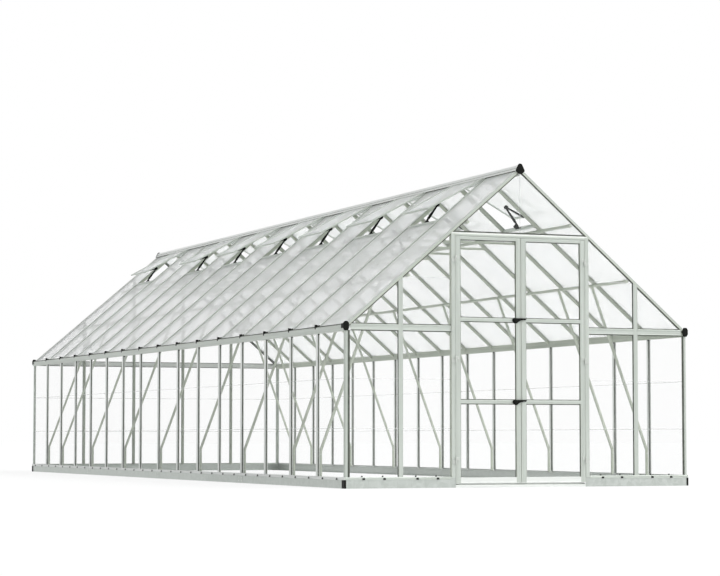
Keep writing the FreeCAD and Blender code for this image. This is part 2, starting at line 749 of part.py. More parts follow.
def roof_panel(name, head):
    end = (half_width + size.eave_overhang) / roof_cos
    outline = [on_roof(head, -size.roof_sheet), on_roof(end, -size.roof_sheet), on_roof(end, 0),
               on_roof(head, 0)]
    half = (size.bay - size.bar_web) / 2 - gap
    return bar(name, "XZ_Plane", outline, -half, half)


def make_roof_panels():
    full = roof_panel("roof_panel", size.panel_head)
    short = roof_panel("vent_bay_panel", size.sill_place + size.sill_width + gap)
    plain_bays = [index for index in range(bays_long) if index not in vent_bays()]
    panels = both_sides(full, [bay_middle(index) for index in plain_bays])
    panels += both_sides(short, [bay_middle(index) for index in vent_bays()])
    node("roof_panels", panels)


# Glazing of the walls and gables

def make_wall_panes():
    half = (size.bay - size.post_web) / 2 - gap
    outer, inner = half_width - pane_face, half_width - pane_back
    panes = []
    for name, low, high in courses("wall_pane", beam_low):
        pane = bar(name, "XZ_Plane", rectangle(inner, outer, low, high), -half, half)
        panes += both_sides(pane, [bay_middle(index) for index in range(bays_long)])
    node("wall_panes", panes)


def courses(name, top):
    """Names and heights of the three courses of panes between the base and a ledge."""
    first = size.base_height + size.pane_course
    second = first + size.pane_course
    edges = [size.base_height, first, second, top]
    return [(f"{name}_{number}", edges[number] + gap, edges[number + 1] - gap) for number in range(3)]


def gable_pane(name, facing, side, low, high, floor, ceiling=None):
    """Pane between two distances from the middle, up to the rafter or to a level joint."""
    heights = [ceiling or gable_ceiling(high) - gap, ceiling or gable_ceiling(low) - gap]
    outline = [(side * low, floor), (side * high, floor), (side * high, heights[0]), (side * low, heights[1])]
    return gable_bar(name, facing, outline, pane_face, pane_back)


def make_gable_panes():
    half_web = size.post_web / 2 + gap
    above = shelf_low + size.rail_shelf + gap
    keel_low = size.ridge_height - size.keel_depth - gap
    corner = connector_edge - gap
    jamb_edge = size.door_half + size.jamb_width + gap
    post = size.gable_post_place
    inner_edge = post - half_web
    joint = size.eave_height + size.gable_joint_rise
    over_door = head_top + gap
    peak_edge = gable_edge(over_door + gap)
    keel_edge = gable_edge(keel_low + gap)
    panes = []
    for side, word in ((right, "right"), (left, "left")):
        for name, low, high in courses(f"front_pane_{word}", shelf_low):
            panes.append(gable_pane(f"{name}_inner", front, side, jamb_edge, inner_edge, low, high))
            panes.append(gable_pane(f"{name}_outer", front, side, post + half_web, corner, low, high))
        panes.append(gable_pane(f"front_peak_{word}_outer", front, side, post + half_web, corner, above))
        cut = gable_edge(joint)
        panes.append(gable_bar(f"front_peak_{word}_low", front,
                               [(side * jamb_edge, above), (side * inner_edge, above),
                                (side * inner_edge, gable_ceiling(inner_edge) - gap),
                                (side * cut, joint - gap), (side * jamb_edge, joint - gap)],
                               pane_face, pane_back))
        cut = gable_edge(joint + gap * 2)
        panes.append(gable_bar(f"front_peak_{word}_high", front,
                               [(side * jamb_edge, joint + gap), (side * cut, joint + gap),
                                (side * jamb_edge, gable_ceiling(jamb_edge) - gap)], pane_face, pane_back))
        peak = [(side * gap, over_door), (side * peak_edge, over_door), (side * keel_edge, keel_low),
                (side * gap, keel_low)]
        panes.append(gable_bar(f"front_peak_{word}_top", front, peak, pane_face, pane_back))
        edges = back_post_places()
        for number, (low, high) in enumerate(zip(edges, edges[1:] + [half_width]), start=1):
            end = corner if number == len(edges) else high - half_web
            for name, floor, ceiling in courses(f"back_pane_{word}_{number}", shelf_low):
                panes.append(gable_pane(name, back, side, low + half_web, end, floor, ceiling))
            panes.append(gable_pane(f"back_peak_{word}_{number}", back, side, low + half_web, end, above))
    reach = back_post_places()[0] - half_web
    for name, floor, ceiling in courses("back_pane_middle", shelf_low):
        panes.append(gable_bar(name, back, rectangle(-reach, reach, floor, ceiling), pane_face, pane_back))
    peak = mirrored([(reach, above), (reach, gable_ceiling(reach) - gap), (keel_edge, keel_low)])
    panes.append(gable_bar("back_peak_middle", back, peak, pane_face, pane_back))
    node("gable_panes", panes)


# Doors: surround, threshold, two leaves on lift-off hinges, and two latches

def make_door_surround():
    near, far = -size.door_outset, size.jamb_depth - size.door_outset
    inner, outer = size.door_half, size.door_half + size.jamb_width
    pieces = []
    for side, word in ((right, "right"), (left, "left")):
        jamb = rectangle(side * inner, side * outer, size.base_height, head_top)
        pieces.append(gable_bar(f"door_jamb_{word}", front, jamb, near, far))
    reach = inner - gap
    head = rectangle(-reach, reach, head_top - size.head_height, head_top)
    pieces.append(gable_bar("door_head", front, head, near, far))
    node("door_surround", pieces)
    face = half_length + size.base_outset
    rear = face - size.base_depth
    slope = [(-face, 0), (-rear, 0), (-rear, size.threshold_height),
             (-face + size.base_depth / 2, size.threshold_height), (-face, size.threshold_nose)]
    node("door_threshold", [bar("threshold", "YZ_Plane", slope, -reach, reach)])


def leaf_levels():
    """Lower and upper edges of a leaf's rails, from the bottom rail up."""
    return [(size.leaf_low, size.leaf_low + size.bottom_rail),
            (size.lower_rail_low, size.lower_rail_low + size.mid_rail),
            (size.upper_rail_low, size.upper_rail_low + size.mid_rail),
            (leaf_top - size.top_rail, leaf_top)]


def hinge_levels():
    middle = (size.leaf_low + leaf_top) / 2
    return [size.leaf_low + size.hinge_margin, middle, leaf_top - size.hinge_margin]


hinge_line = size.door_half - size.door_gap / 2
hinge_front = door_front + size.hinge_radius + gap


def barrel_and_plate(name, side, way, low, high, bore):
    """Hinge barrel on the hinge line with a plate on the leaf (way -1) or on the jamb (way 1)."""
    body = new_body(name)
    x = side * hinge_line
    holes = [octagon(x, -hinge_front, bore)] if bore else []
    pad(body, "XY_Plane", octagon(x, -hinge_front, size.hinge_radius), low, high, holes)
    end = x + side * way * (size.hinge_radius + size.hinge_reach)
    rear = -door_front - gap / 3
    pad(body, "XY_Plane", rectangle(x, end, rear - size.hinge_plate, rear), low, high)
    return body


def make_hinges():
    pintles = []
    for side, word in ((right, "right"), (left, "left")):
        for number, level in enumerate(hinge_levels(), start=1):
            body = barrel_and_plate(f"hinge_pintle_{word}_{number}", side, 1,
                                    level - size.hinge_half, level - gap, None)
            pad(body, "XY_Plane", Round(side * hinge_line, -hinge_front, size.hinge_pin),
                level - gap, level + size.hinge_half)
            pintles.append(body)
    node("door_hinge_pintles", pintles)


def latch_levels():
    return [("upper", size.upper_rail_low + size.mid_rail / 2), ("lower", size.lower_rail_low + size.mid_rail / 2)]


def make_leaf(side, word):
    inner, outer = size.door_gap, size.door_half - size.door_gap
    near, far = -size.door_outset, size.leaf_depth - size.door_outset
    bars = []
    for name, low, high in (("hinge", outer - size.stile, outer), ("meeting", inner, inner + size.stile)):
        stile = rectangle(side * low, side * high, size.leaf_low, leaf_top)
        bars.append(gable_bar(f"{word}_{name}_stile", front, stile, near, far))
    low, high = inner + size.stile + gap, outer - size.stile - gap
    for number, (floor, ceiling) in enumerate(leaf_levels(), start=1):
        rail = gable_bar(f"{word}_leaf_rail_{number}", front, rectangle(side * low, side * high, floor, ceiling),
                         near, far)
        if side == left and number in (2, 3):
            bore = octagon(-size.latch_place, (floor + ceiling) / 2, size.latch_spindle + size.pin_clearance)
            extrude(rail, "Pocket", "XZ_Plane", [bore], -door_front, -door_front + size.leaf_depth)
        bars.append(rail)
    for number, level in enumerate(hinge_levels(), start=1):
        bars.append(barrel_and_plate(f"{word}_hinge_eye_{number}", side, -1, level + gap,
                                     level + size.hinge_half, size.hinge_pin + size.pin_clearance))
    node(f"{word}_door_frame", bars)
    panes = []
    levels = leaf_levels()
    for number in range(3):
        outline = rectangle(side * low, side * high, levels[number][1] + gap, levels[number + 1][0] - gap)
        panes.append(gable_bar(f"{word}_leaf_pane_{number + 1}", front, outline, pane_face, pane_back))
    node(f"{word}_door_panes", panes)


def make_latches():
    keepers = []
    for word, level in latch_levels():
        body = new_body(f"{word}_latch")
        pivot = -size.latch_place
        bulb = size.latch_bulb
        tip_low = level + size.latch_tip_rise - size.latch_tip / 2
        tip_high = tip_low + size.latch_tip
        lever = [(pivot - bulb, level), (pivot - bulb * 0.7, level - bulb * 0.7), (pivot, level - bulb),
                 (pivot + bulb * 0.7, level - bulb * 0.6), (-size.door_gap, tip_low),
                 (-size.door_gap, tip_high), (pivot + bulb * 0.5, level + bulb * 0.9),
                 (pivot - bulb * 0.6, level + bulb * 0.7)]
        face = -door_front - gap
        pad(body, "XZ_Plane", lever, face - size.latch_thickness, face)
        rear = -door_front + size.leaf_depth + gap
        pad(body, "XZ_Plane", Round(pivot, level, size.latch_spindle), face, rear)
        turn = rectangle(pivot - size.latch_spindle, pivot + size.latch_spindle,
                         level - size.latch_knob, level + size.latch_knob)
        pad(body, "XZ_Plane", turn, rear, rear + size.latch_thickness)
        node(f"{word}_latch_handle", [body])
        keeper = [(size.door_gap, tip_low), (size.door_gap + size.keeper_reach, tip_high - size.latch_tip / 3),
                  (size.door_gap + size.keeper_reach, tip_high), (size.door_gap, tip_high)]
        keepers.append(bar(f"{word}_keeper", "XZ_Plane", keeper,
                           -door_front - size.keeper_thickness, -door_front))
    node("latch_keepers", keepers)


# Vents: a hinged flap with a fixed arm, and a stay from the arm's elbow to the sill

elbow_along = (size.vent_hinge_place + size.elbow_place * cosine(size.vent_open)
               + size.elbow_drop * sine(size.vent_open))
elbow_lift = (size.vent_hinge_lift + size.elbow_place * sine(size.vent_open)
              - size.elbow_drop * cosine(size.vent_open))
stay_run = size.stay_foot_place - elbow_along
stay_fall = elbow_lift + size.stay_foot_drop
stay_angle = angle_of(stay_fall, stay_run)
stay_length = stay_run / cosine(stay_angle)
link_side = size.link_spacing / 2


def flap_pieces():
    """Flap pieces in the flap's own frame: X down the flap, Y along the ridge, Z outwards."""
    half, deep = size.vent_width / 2, size.vent_bar_depth / 2
    inner = half - size.vent_bar
    head = size.vent_hinge_end + gap
    bar_top = size.vent_length - size.vent_bar
    hinge_nose = Nose(0, 0, size.vent_hinge_half, size.vent_hinge_end)
    hinge_bar = bar("vent_hinge_bar", "XZ_Plane", hinge_nose, -half, half)
    upright = rectangle(head, bar_top - gap, -deep, deep)
    near_bar = bar("vent_side_bar_near", "XZ_Plane", upright, -half, -inner)
    far_bar = bar("vent_side_bar_far", "XZ_Plane", upright, inner, half)
    low_bar = bar("vent_low_bar", "XZ_Plane", rectangle(bar_top, size.vent_length, -deep, deep), -half, half)
    sheet_outline = rectangle(head, bar_top - gap, -size.roof_sheet / 2, size.roof_sheet / 2)
    pane = bar("vent_pane", "XZ_Plane", sheet_outline, gap - inner, inner - gap)
    return [hinge_bar, near_bar, far_bar, low_bar, pane, vent_arm(bar_top - gap, -deep)]


def vent_arm(lug, under):
    """Fixed arm: from the low bar's upper face down to a bend, then back up the flap to the elbow pin."""
    body = new_body("vent_arm")
    half = size.link_width / 2
    bend, drop = size.arm_foot, -size.arm_drop
    elbow, elbow_low = size.elbow_place, -size.elbow_drop
    outline = [(lug, size.roof_sheet / -2 - gap), (bend - half, size.roof_sheet / -2 - gap),
               (bend - half * 3, drop + half), (elbow + half, elbow_low + half),
               (elbow + half, elbow_low - half), (bend, drop - half), (lug - gap, under)]
    pad(body, "XZ_Plane", outline, -link_side - size.link, -link_side)
    pad(body, "XZ_Plane", Nose(elbow, elbow_low, half, elbow + half), -link_side - size.link, -link_side)
    pad(body, "XZ_Plane", octagon(elbow, elbow_low, size.pin_radius), -link_side, link_side + size.link)
    return body


def stay_link():
    """Stay in its own frame: X from the elbow pin towards the foot pin."""
    half, end = size.link_width / 2, stay_length
    play = size.pin_radius + size.pin_clearance
    tip = end + play + size.stay_end
    outline = [(-half, -half / 2), (-half / 2, -half), (tip - half / 2, -half), (tip, -half / 2),
               (tip, half / 2), (tip - half / 2, half), (-half / 2, half), (-half, half / 2)]
    eye = octagon(as_size(0), as_size(0), play)
    slot = rectangle(end - size.stay_slot, end + play, -play, play)
    body = new_body("vent_stay")
    pad(body, "XZ_Plane", outline, link_side, link_side + size.link, [eye, slot])
    return body


def make_sills():
    head, foot = size.sill_place, size.sill_place + size.sill_width
    sill = new_body("vent_sill")
    between_webs = (size.bay - size.bar_web) / 2 - gap
    bed = [on_roof(head, -size.sill_depth), on_roof(foot, -size.sill_depth), on_roof(foot, 0), on_roof(head, 0)]
    pad(sill, "XZ_Plane", bed, -between_webs, between_webs)
    between_flanges = (size.bay - size.bar_width) / 2 - gap
    rib = [on_roof(head, 0), on_roof(foot, 0), on_roof(foot, gap), on_roof(foot + size.sill_lip, gap),
           on_roof(foot + size.sill_lip, size.sill_rise), on_roof(head, size.sill_rise)]
    pad(sill, "XZ_Plane", rib, -between_flanges, between_flanges)
    middles = [bay_middle(index) for index in vent_bays()]
    node("vent_sills", both_sides(sill, middles))
    lug = new_body("stay_bracket")
    place, drop = size.stay_foot_place, -size.stay_foot_drop
    half_lug = size.link_width / 2
    seat = head - gap
    plate = [on_roof(seat, drop - half_lug * 2), on_roof(seat, drop + half_lug),
             on_roof(place - half_lug, drop + half_lug), on_roof(place - half_lug, drop - half_lug)]
    outer = link_side + size.link + gap
    pad(lug, "XZ_Plane", plate, outer, outer + size.link / 2)
    slider = [on_roof(place + size.pin_radius * x, drop + size.pin_radius * y)
              for x, y in ((-1, 0), (0, -1), (1, 0), (0, 1))]
    pad(lug, "XZ_Plane", slider, link_side / 2, outer)
    node("stay_brackets", both_sides(lug, middles))


def make_vents():
    pieces = flap_pieces()
    stay = stay_link()
    hinge_x, hinge_z = on_roof(size.vent_hinge_place, size.vent_hinge_lift)
    elbow_x, elbow_z = on_roof(elbow_along, elbow_lift)
    for side, word, yaw in ((left, "left", 180), (right, "right", 0)):
        for number, index in enumerate(vent_bays(), start=1):
            middle = bay_middle(index)
            flap = node(f"{word}_vent_flap_{number}", pieces)
            bind_place(flap, side * hinge_x, middle, hinge_z, yaw, roof_angle - size.vent_open)
            link = node(f"{word}_vent_stay_{number}", [stay])
            bind_place(link, side * elbow_x, middle, elbow_z, yaw, roof_angle + stay_angle)


make_base()
make_corners()
make_strips()
make_clips()
make_wall_posts()
make_gable_posts()
make_gable_rails()
make_eave_beams()
make_rafters()
make_ridge()
make_purlins()
make_ties()
make_braces()
make_roof_panels()
make_wall_panes()
make_gable_panes()
make_door_surround()
make_hinges()
make_leaf(left, "left")
make_leaf(right, "right")
make_latches()
make_sills()
make_vents()
doc.recompute()

for item in doc.Objects:
    if "Invalid" in item.State or "Error" in item.State:
        raise RuntimeError(f"{item.Label} failed: {item.State}")
for group in nodes:
    if group.Shape.isNull() or not group.Shape.isValid():
        raise RuntimeError(f"{group.Label} has no valid shape")

os.makedirs("parts", exist_ok=True)
for group in nodes:
    group.Shape.exportStep(f"parts/{group.Label}.step")
print(len(nodes), "nodes,", sum(len(group.Shape.Solids) for group in nodes), "solids")
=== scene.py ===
import json
import math

import bmesh
import bpy
from mathutils import Matrix, Vector


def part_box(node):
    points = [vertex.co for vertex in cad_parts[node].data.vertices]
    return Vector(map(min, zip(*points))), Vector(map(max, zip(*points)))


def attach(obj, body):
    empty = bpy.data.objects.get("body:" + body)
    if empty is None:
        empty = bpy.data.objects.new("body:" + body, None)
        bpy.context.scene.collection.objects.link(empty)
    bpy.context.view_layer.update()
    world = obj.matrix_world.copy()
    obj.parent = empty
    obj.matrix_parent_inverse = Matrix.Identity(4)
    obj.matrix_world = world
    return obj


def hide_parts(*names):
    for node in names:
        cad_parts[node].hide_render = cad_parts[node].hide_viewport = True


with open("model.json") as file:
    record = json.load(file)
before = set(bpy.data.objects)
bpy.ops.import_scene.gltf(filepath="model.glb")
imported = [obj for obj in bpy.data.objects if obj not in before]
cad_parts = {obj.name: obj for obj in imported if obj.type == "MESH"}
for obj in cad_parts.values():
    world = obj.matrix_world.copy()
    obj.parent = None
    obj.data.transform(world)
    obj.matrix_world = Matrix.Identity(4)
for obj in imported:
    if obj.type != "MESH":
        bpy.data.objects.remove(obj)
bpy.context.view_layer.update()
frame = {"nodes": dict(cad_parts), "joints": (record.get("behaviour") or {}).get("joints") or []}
joints = {joint["name"]: joint for joint in frame["joints"]}
scene = bpy.context.scene
mm = 0.001
xAxis, yAxis, zAxis = Vector((1, 0, 0)), Vector((0, 1, 0)), Vector((0, 0, 1))
print("frame loaded:", len(frame["nodes"]), "nodes")

# main lines of the building, in metres, read from the frame where it shows them
bayCount = 16
barLengths = 4  # lengths that make up each long bar
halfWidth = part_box("wall_posts")[1].x
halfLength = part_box("gable_posts")[1].y
bay = 2 * halfLength / bayCount
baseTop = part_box("base_rails")[1].z
beamDrop, ribDrop = 38 * mm, 60 * mm  # gutter beam and ridge rib, below the roof planes
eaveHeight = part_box("eave_beams")[0].z + beamDrop
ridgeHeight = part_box("ridge_beam")[0].z + ribDrop
slope = math.atan2(ridgeHeight - eaveHeight, halfWidth)
postLines = [bay * index - halfLength for index in range(1, bayCount)]
bayMiddles = [bay * (index + 0.5) - halfLength for index in range(bayCount)]
sides = (1, -1)
sideWords = {1: "right", -1: "left"}
underRafter = 16.3 * mm  # web of a gable rafter and its clearance


def outwardOf(side):
    return Vector((side * math.sin(slope), 0, math.cos(slope)))


def downOf(side):
    return Vector((side * math.cos(slope), 0, -math.sin(slope)))


# materials

def linear(hexColour):
    channels = [int(hexColour[start:start + 2], 16) / 255 for start in (1, 3, 5)]
    return (*[c / 12.92 if c <= 0.04045 else ((c + 0.055) / 1.055) ** 2.4 for c in channels], 1)


def addNode(tree, kind, links=None, **settings):
    made = tree.nodes.new("ShaderNode" + kind)
    for name, value in settings.items():
        setattr(made, name, value)
    for socket, value in (links or {}).items():
        if isinstance(value, bpy.types.NodeSocket):
            tree.links.new(value, made.inputs[socket])
        else:
            made.inputs[socket].default_value = value
    return made


def startMaterial(name, sockets):
    material = bpy.data.materials.new(name)
    material.use_nodes = True
    tree = material.node_tree
    skin = tree.nodes["Principled BSDF"]
    for socket, value in sockets.items():
        skin.inputs[socket].default_value = value
    spots = addNode(tree, "TexCoord")
    return material, tree, skin, spots.outputs["Object"]


def dress(tree, skin, pattern, look):
    ramp = addNode(tree, "ValToRGB", {"Fac": pattern})
    for stop, place, colour in zip(ramp.color_ramp.elements, look["stops"], (look["dark"], look["light"])):
        stop.position, stop.color = place, linear(colour)
    tree.links.new(ramp.outputs["Color"], skin.inputs["Base Color"])
    if "roughness" in look:
        least, most = look["roughness"]
        gloss = addNode(tree, "MapRange", {"Value": pattern, "To Min": least, "To Max": most})
        tree.links.new(gloss.outputs["Result"], skin.inputs["Roughness"])


def dent(tree, skin, pattern, look):
    depth, strength = look["dents"]
    dents = addNode(tree, "Bump", {"Height": pattern, "Strength": strength, "Distance": depth})
    tree.links.new(dents.outputs["Normal"], skin.inputs["Normal"])


def mottled(look):
    material, tree, skin, spots = startMaterial(look["name"], look["sockets"])
    patches = addNode(tree, "TexNoise", {"Vector": spots, "Scale": 1 / look["patch"],
                                         "Detail": look["detail"]})
    dress(tree, skin, patches.outputs["Fac"], look)
    if "dents" in look:
        dent(tree, skin, patches.outputs["Fac"], look)
    return material


# Extruded aluminium: a satin sheen with fine lines from the die along each bar. The lines are under
# 1 mm wide, too fine for this view, so they are drawn 14 mm wide.
# Outside, a clear anodised coat keeps it pale.
anodisedFinish = {
    "name": "anodised_aluminium", "light": "#C9CFC8", "dark": "#B7BDB5", "stops": (0.3, 0.7),
    "lineWidth": 14 * mm, "lineLength": 900 * mm, "lineDetail": 3.0, "sockets": {"Metallic": 0.15},
    "roughness": (0.34, 0.48), "dents": (0.25 * mm, 0.25),
}
# Inside, the bars get a darker, slightly greener copy: partly the duller skin that the mill leaves, partly
# painted shade on the faces that lie further in.
millShadeFinish = {**anodisedFinish, "name": "mill_aluminium_painted_shade", "light": "#C6CCBF", "dark": "#AFB5A8",
              "roughness": (0.42, 0.58)}
# Sill strips, threshold, ridge, wall posts, flashing, the back gable's rails and the doors' foot rails get a
# lighter copy of the aluminium, nearly white with a closer gloss: a painted highlight.
paintedHighlightFinish = {**anodisedFinish, "name": "aluminium_painted_highlight", "light": "#EDEFEC", "dark": "#DEE1DD",
                "roughness": (0.26, 0.36)}


def drawnAluminium(look, word, run, turn=0.0):
    material, tree, skin, spots = startMaterial(f"{look['name']}_{word}", look["sockets"])
    scale = [look["lineLength"] if axis == run else look["lineWidth"] for axis in "xyz"]
    lay = addNode(tree, "Mapping", {"Vector": spots, "Rotation": (0, turn, 0), "Scale": scale},
                  vector_type="TEXTURE")
    lines = addNode(tree, "TexNoise", {"Vector": lay.outputs["Vector"], "Scale": 1.0,
                                       "Detail": look["lineDetail"]})
    dress(tree, skin, lines.outputs["Fac"], look)
    dent(tree, skin, lines.outputs["Fac"], look)
    return material


barRuns = {"along": ("y", 0.0), "across": ("x", 0.0), "upright": ("z", 0.0), "right_slope": ("x", slope),
           "left_slope": ("x", -slope)}
anodised = {word: drawnAluminium(anodisedFinish, word, *run) for word, run in barRuns.items()}
millShade = {word: drawnAluminium(millShadeFinish, word, *run) for word, run in barRuns.items()}
paintedHighlight = {word: drawnAluminium(paintedHighlightFinish, word, *barRuns[word]) for word in ("along", "across", "upright")}

# Galvanised sheet steel, rolled and pressed: an even light grey with faint zinc crystals, some
# lighter than others. Crystals are about 10 mm across and are drawn at 30 mm to show in this view.
steelFinish = {"light": "#C3C8C4", "dark": "#B9BFBA", "stops": (0.2, 0.8), "crystal": 30 * mm,
               "roughness": (0.42, 0.54), "sockets": {"Metallic": 0.9}}
baseSteel, tree, skin, spots = startMaterial("galvanised_sheet_steel", steelFinish["sockets"])
crystals = addNode(tree, "TexVoronoi", {"Vector": spots, "Scale": 1 / steelFinish["crystal"]})
dress(tree, skin, crystals.outputs["Color"], steelFinish)

# Glass-filled nylon, injection moulded with a fine spark-eroded grain: matt near-black with a weak
# sheen. The grain is about 0.4 mm and is drawn at 3 mm.
blackNylon = mottled({
    "name": "moulded_black_nylon", "light": "#121410", "dark": "#090A08", "stops": (0.35, 0.65),
    "patch": 3 * mm, "detail": 4.0, "dents": (0.3 * mm, 0.3), "sockets": {"Roughness": 0.55, "IOR": 1.53,
                                                                          "Specular IOR Level": 0.12},
})

# Extruded rubber seals: matt with no sheen, slightly dusty in patches. Dark grey on the walls and doors, pale
# grey on the roof; their lines along the bars also stand for the shade there, so they are partly real seals
# and partly painted shade.
sealShadeFinish = {"name": "rubber_seal_and_painted_shade", "light": "#585D54", "dark": "#42463E", "stops": (0.35, 0.65),
                "patch": 60 * mm, "detail": 2.0, "sockets": {"Roughness": 0.75}}
sealAndPaintedShade = mottled(sealShadeFinish)
paleSealAndPaintedShade = mottled({**sealShadeFinish, "name": "pale_rubber_seal_and_painted_shade", "light": "#A6ABA3",
                    "dark": "#91968E"})

# Zinc-plated bolts, screws and hinges: brighter and smoother than the bars round them.
zincPlate = mottled({
    "name": "zinc_plated_steel", "light": "#DADDD8", "dark": "#BFC4BE", "stops": (0.35, 0.65),
    "patch": 6 * mm, "detail": 2.0, "sockets": {"Metallic": 0.8, "Roughness": 0.3},
})

# Clear polycarbonate sheet, extruded flat: almost nothing to see on white but a thin gloss, which
# long soft waves from the rollers break up. The waves are a hand's width apart.
clearSheet = mottled({
    "name": "clear_polycarbonate_sheet", "light": "#F4F7F5", "dark": "#EAEFEC", "stops": (0.3, 0.7),
    "patch": 110 * mm, "detail": 2.0, "roughness": (0.04, 0.11), "dents": (0.5 * mm, 0.15),
    "sockets": {"IOR": 1.585, "Alpha": 0.025},
})

# Joint strip, extruded from the same plastic: frosted, so it is a white line across the bars behind.
frostedStrip = mottled({
    "name": "extruded_frosted_strip", "light": "#F4F6F4", "dark": "#E9ECE9", "stops": (0.3, 0.7),
    "patch": 200 * mm, "detail": 2.0,
    "sockets": {"Roughness": 0.25, "IOR": 1.585, "Alpha": 0.32, "Subsurface Weight": 1.0,
                "Subsurface Radius": (1, 1, 1), "Subsurface Scale": 0.01},
})

# Milky twin-wall polycarbonate, extruded with flutes down the slope: a soft grey-white veil that lets
# light through and shows the bars behind as faint lines. Flutes are 6 mm apart, drawn at 36 mm. Light
# spreads 40 mm under the surface, far more than the sheet's 4 mm, which keeps the veil soft.
milkyFinish = {"light": "#F8FAF9", "dark": "#F0F4F2", "stops": (0.3, 1.0), "flute": 36 * mm,
               "fluteShare": 0.35, "cloud": 900 * mm, "dents": (0.4 * mm, 0.2),
               "sockets": {"Roughness": 0.42, "IOR": 1.585, "Specular IOR Level": 0.3, "Alpha": 0.47,
                           "Subsurface Weight": 1.0, "Subsurface Radius": (1, 1, 1),
                           "Subsurface Scale": 0.04}}
milkySheet, tree, skin, spots = startMaterial("milky_twin_wall_polycarbonate", milkyFinish["sockets"])
bandScale = math.pi / 10  # the wave texture has one band to each tenth of pi at scale 1
flutes = addNode(tree, "TexWave", {"Vector": spots, "Scale": bandScale / milkyFinish["flute"]},
                 wave_type="BANDS", bands_direction="Y")
clouds = addNode(tree, "TexNoise", {"Vector": spots, "Scale": 1 / milkyFinish["cloud"]})
veil = addNode(tree, "Math", {0: flutes.outputs["Fac"], 1: milkyFinish["fluteShare"],
                              2: clouds.outputs["Fac"]}, operation="MULTIPLY_ADD")
dress(tree, skin, veil.outputs["Value"], milkyFinish)
dent(tree, skin, flutes.outputs["Fac"], milkyFinish)
print("materials ready:", len(bpy.data.materials))


# modelling helpers: a bar is a section in mm, u outwards and v across, drawn out along u x v

def axes(origin, u, v):
    place = Matrix((u, v, u.cross(v))).transposed().to_4x4()
    place.translation = Vector(origin)
    return place


def roundEdges(part, edges, rounding, segments=2):
    bmesh.ops.bevel(part, geom=edges, offset=rounding * mm, affect="EDGES", segments=segments, profile=0.5,
                    material=-1, clamp_overlap=True)


def bar(section, length, rounding=0.0, place=None, inner=None):
    part = bmesh.new()
    cap = part.faces.new([part.verts.new((u * mm, v * mm, 0)) for u, v in section])
    grown = bmesh.ops.extrude_face_region(part, geom=[cap])["geom"]
    bmesh.ops.translate(part, verts=[item for item in grown if isinstance(item, bmesh.types.BMVert)],
                        vec=(0, 0, length))
    if rounding:
        runs = [edge for edge in part.edges if abs(edge.verts[0].co.z - edge.verts[1].co.z) > length / 2]
        roundEdges(part, runs, rounding)
    # the next material is the darker copy, painted shade on the faces further in
    if inner is not None:  # faces further in than this get the next material
        for face in part.faces:
            face.material_index = int(face.calc_center_median().x < inner * mm)
    if place is not None:
        bmesh.ops.transform(part, matrix=place, verts=part.verts[:])
    return part


def levelBar(section, outward, face, floor, ends, rounding=0.0, inner=None):
    heading = outward.cross(zAxis)
    run = xAxis if abs(heading.x) > 0.5 else yAxis
    start = min(ends, key=lambda end: heading.dot(run) * end)
    place = axes(outward * face + run * start + zAxis * floor, outward, zAxis)
    return bar(section, abs(ends[1] - ends[0]), rounding, place, inner)


def uprightBar(section, outward, face, middle, floor, ceiling, rounding=0.0, inner=None):
    run = xAxis if abs(outward.y) > 0.5 else yAxis
    place = axes(outward * face + run * middle + zAxis * floor, outward, zAxis.cross(outward))
    return bar(section, ceiling - floor, rounding, place, inner)


def block(low, high, rounding=0.0):
    part = bmesh.new()
    low, high = Vector(low), Vector(high)
    spread = Matrix.Translation((low + high) / 2) @ Matrix.Diagonal((*(high - low), 1))
    bmesh.ops.create_cube(part, size=1, matrix=spread)
    if rounding:
        roundEdges(part, part.edges[:], rounding)
    return part


rimRounding = 0.8
tiny = 0.001 * mm  # lengths under this count as none


def drum(radius, topRadius, depth, segments=16):
    part = bmesh.new()
    bmesh.ops.create_cone(part, cap_ends=True, segments=segments, radius1=radius * mm, radius2=topRadius * mm,
                          depth=depth * mm)
    rims = [edge for edge in part.edges if abs(edge.verts[0].co.z - edge.verts[1].co.z) < tiny]
    roundEdges(part, rims, rimRounding)
    return part


def cutOff(part, point, normal):
    cut = bmesh.ops.bisect_plane(part, geom=part.verts[:] + part.edges[:] + part.faces[:], dist=tiny,
                                 plane_co=point, plane_no=normal, clear_outer=True)
    rim = [item for item in cut["geom_cut"] if isinstance(item, bmesh.types.BMEdge)]
    bmesh.ops.holes_fill(part, edges=rim)
    return part


def underSlope(part, side):
    return cutOff(part, zAxis * ridgeHeight - outwardOf(side) * underRafter, outwardOf(side))


def stamp(target, part, places=(Matrix.Identity(4),), finish=0):
    for face in part.faces:
        face.material_index += finish
    mesh = bpy.data.meshes.new("stamp")
    part.to_mesh(mesh)
    part.free()
    for place in places:
        moved = mesh.copy()
        moved.transform(place)
        target.from_mesh(moved)
        bpy.data.meshes.remove(moved)
    bpy.data.meshes.remove(mesh)


softSettings = {"weld": 0.01 * mm, "flat": math.radians(1), "sharp": math.radians(30)}


def softened(node, rounding, segments=2):
    part = bmesh.new()
    part.from_mesh(frame["nodes"][node].data)
    bmesh.ops.remove_doubles(part, verts=part.verts[:], dist=softSettings["weld"])
    bmesh.ops.dissolve_limit(part, angle_limit=softSettings["flat"], verts=part.verts[:], edges=part.edges[:])
    sharp = [edge for edge in part.edges
             if edge.is_manifold and edge.calc_face_angle(0) > softSettings["sharp"]]
    roundEdges(part, sharp, rounding, segments)
    return part


def finishPiece(target, name, materials, body="frame", stands=()):
    bmesh.ops.recalc_face_normals(target, faces=target.faces[:])
    mesh = bpy.data.meshes.new(name)
    target.to_mesh(mesh)
    target.free()
    for material in materials:
        mesh.materials.append(material)
    piece = bpy.data.objects.new(name, mesh)
    scene.collection.objects.link(piece)
    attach(piece, body)
    if stands:
        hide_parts(*stands)
    return piece


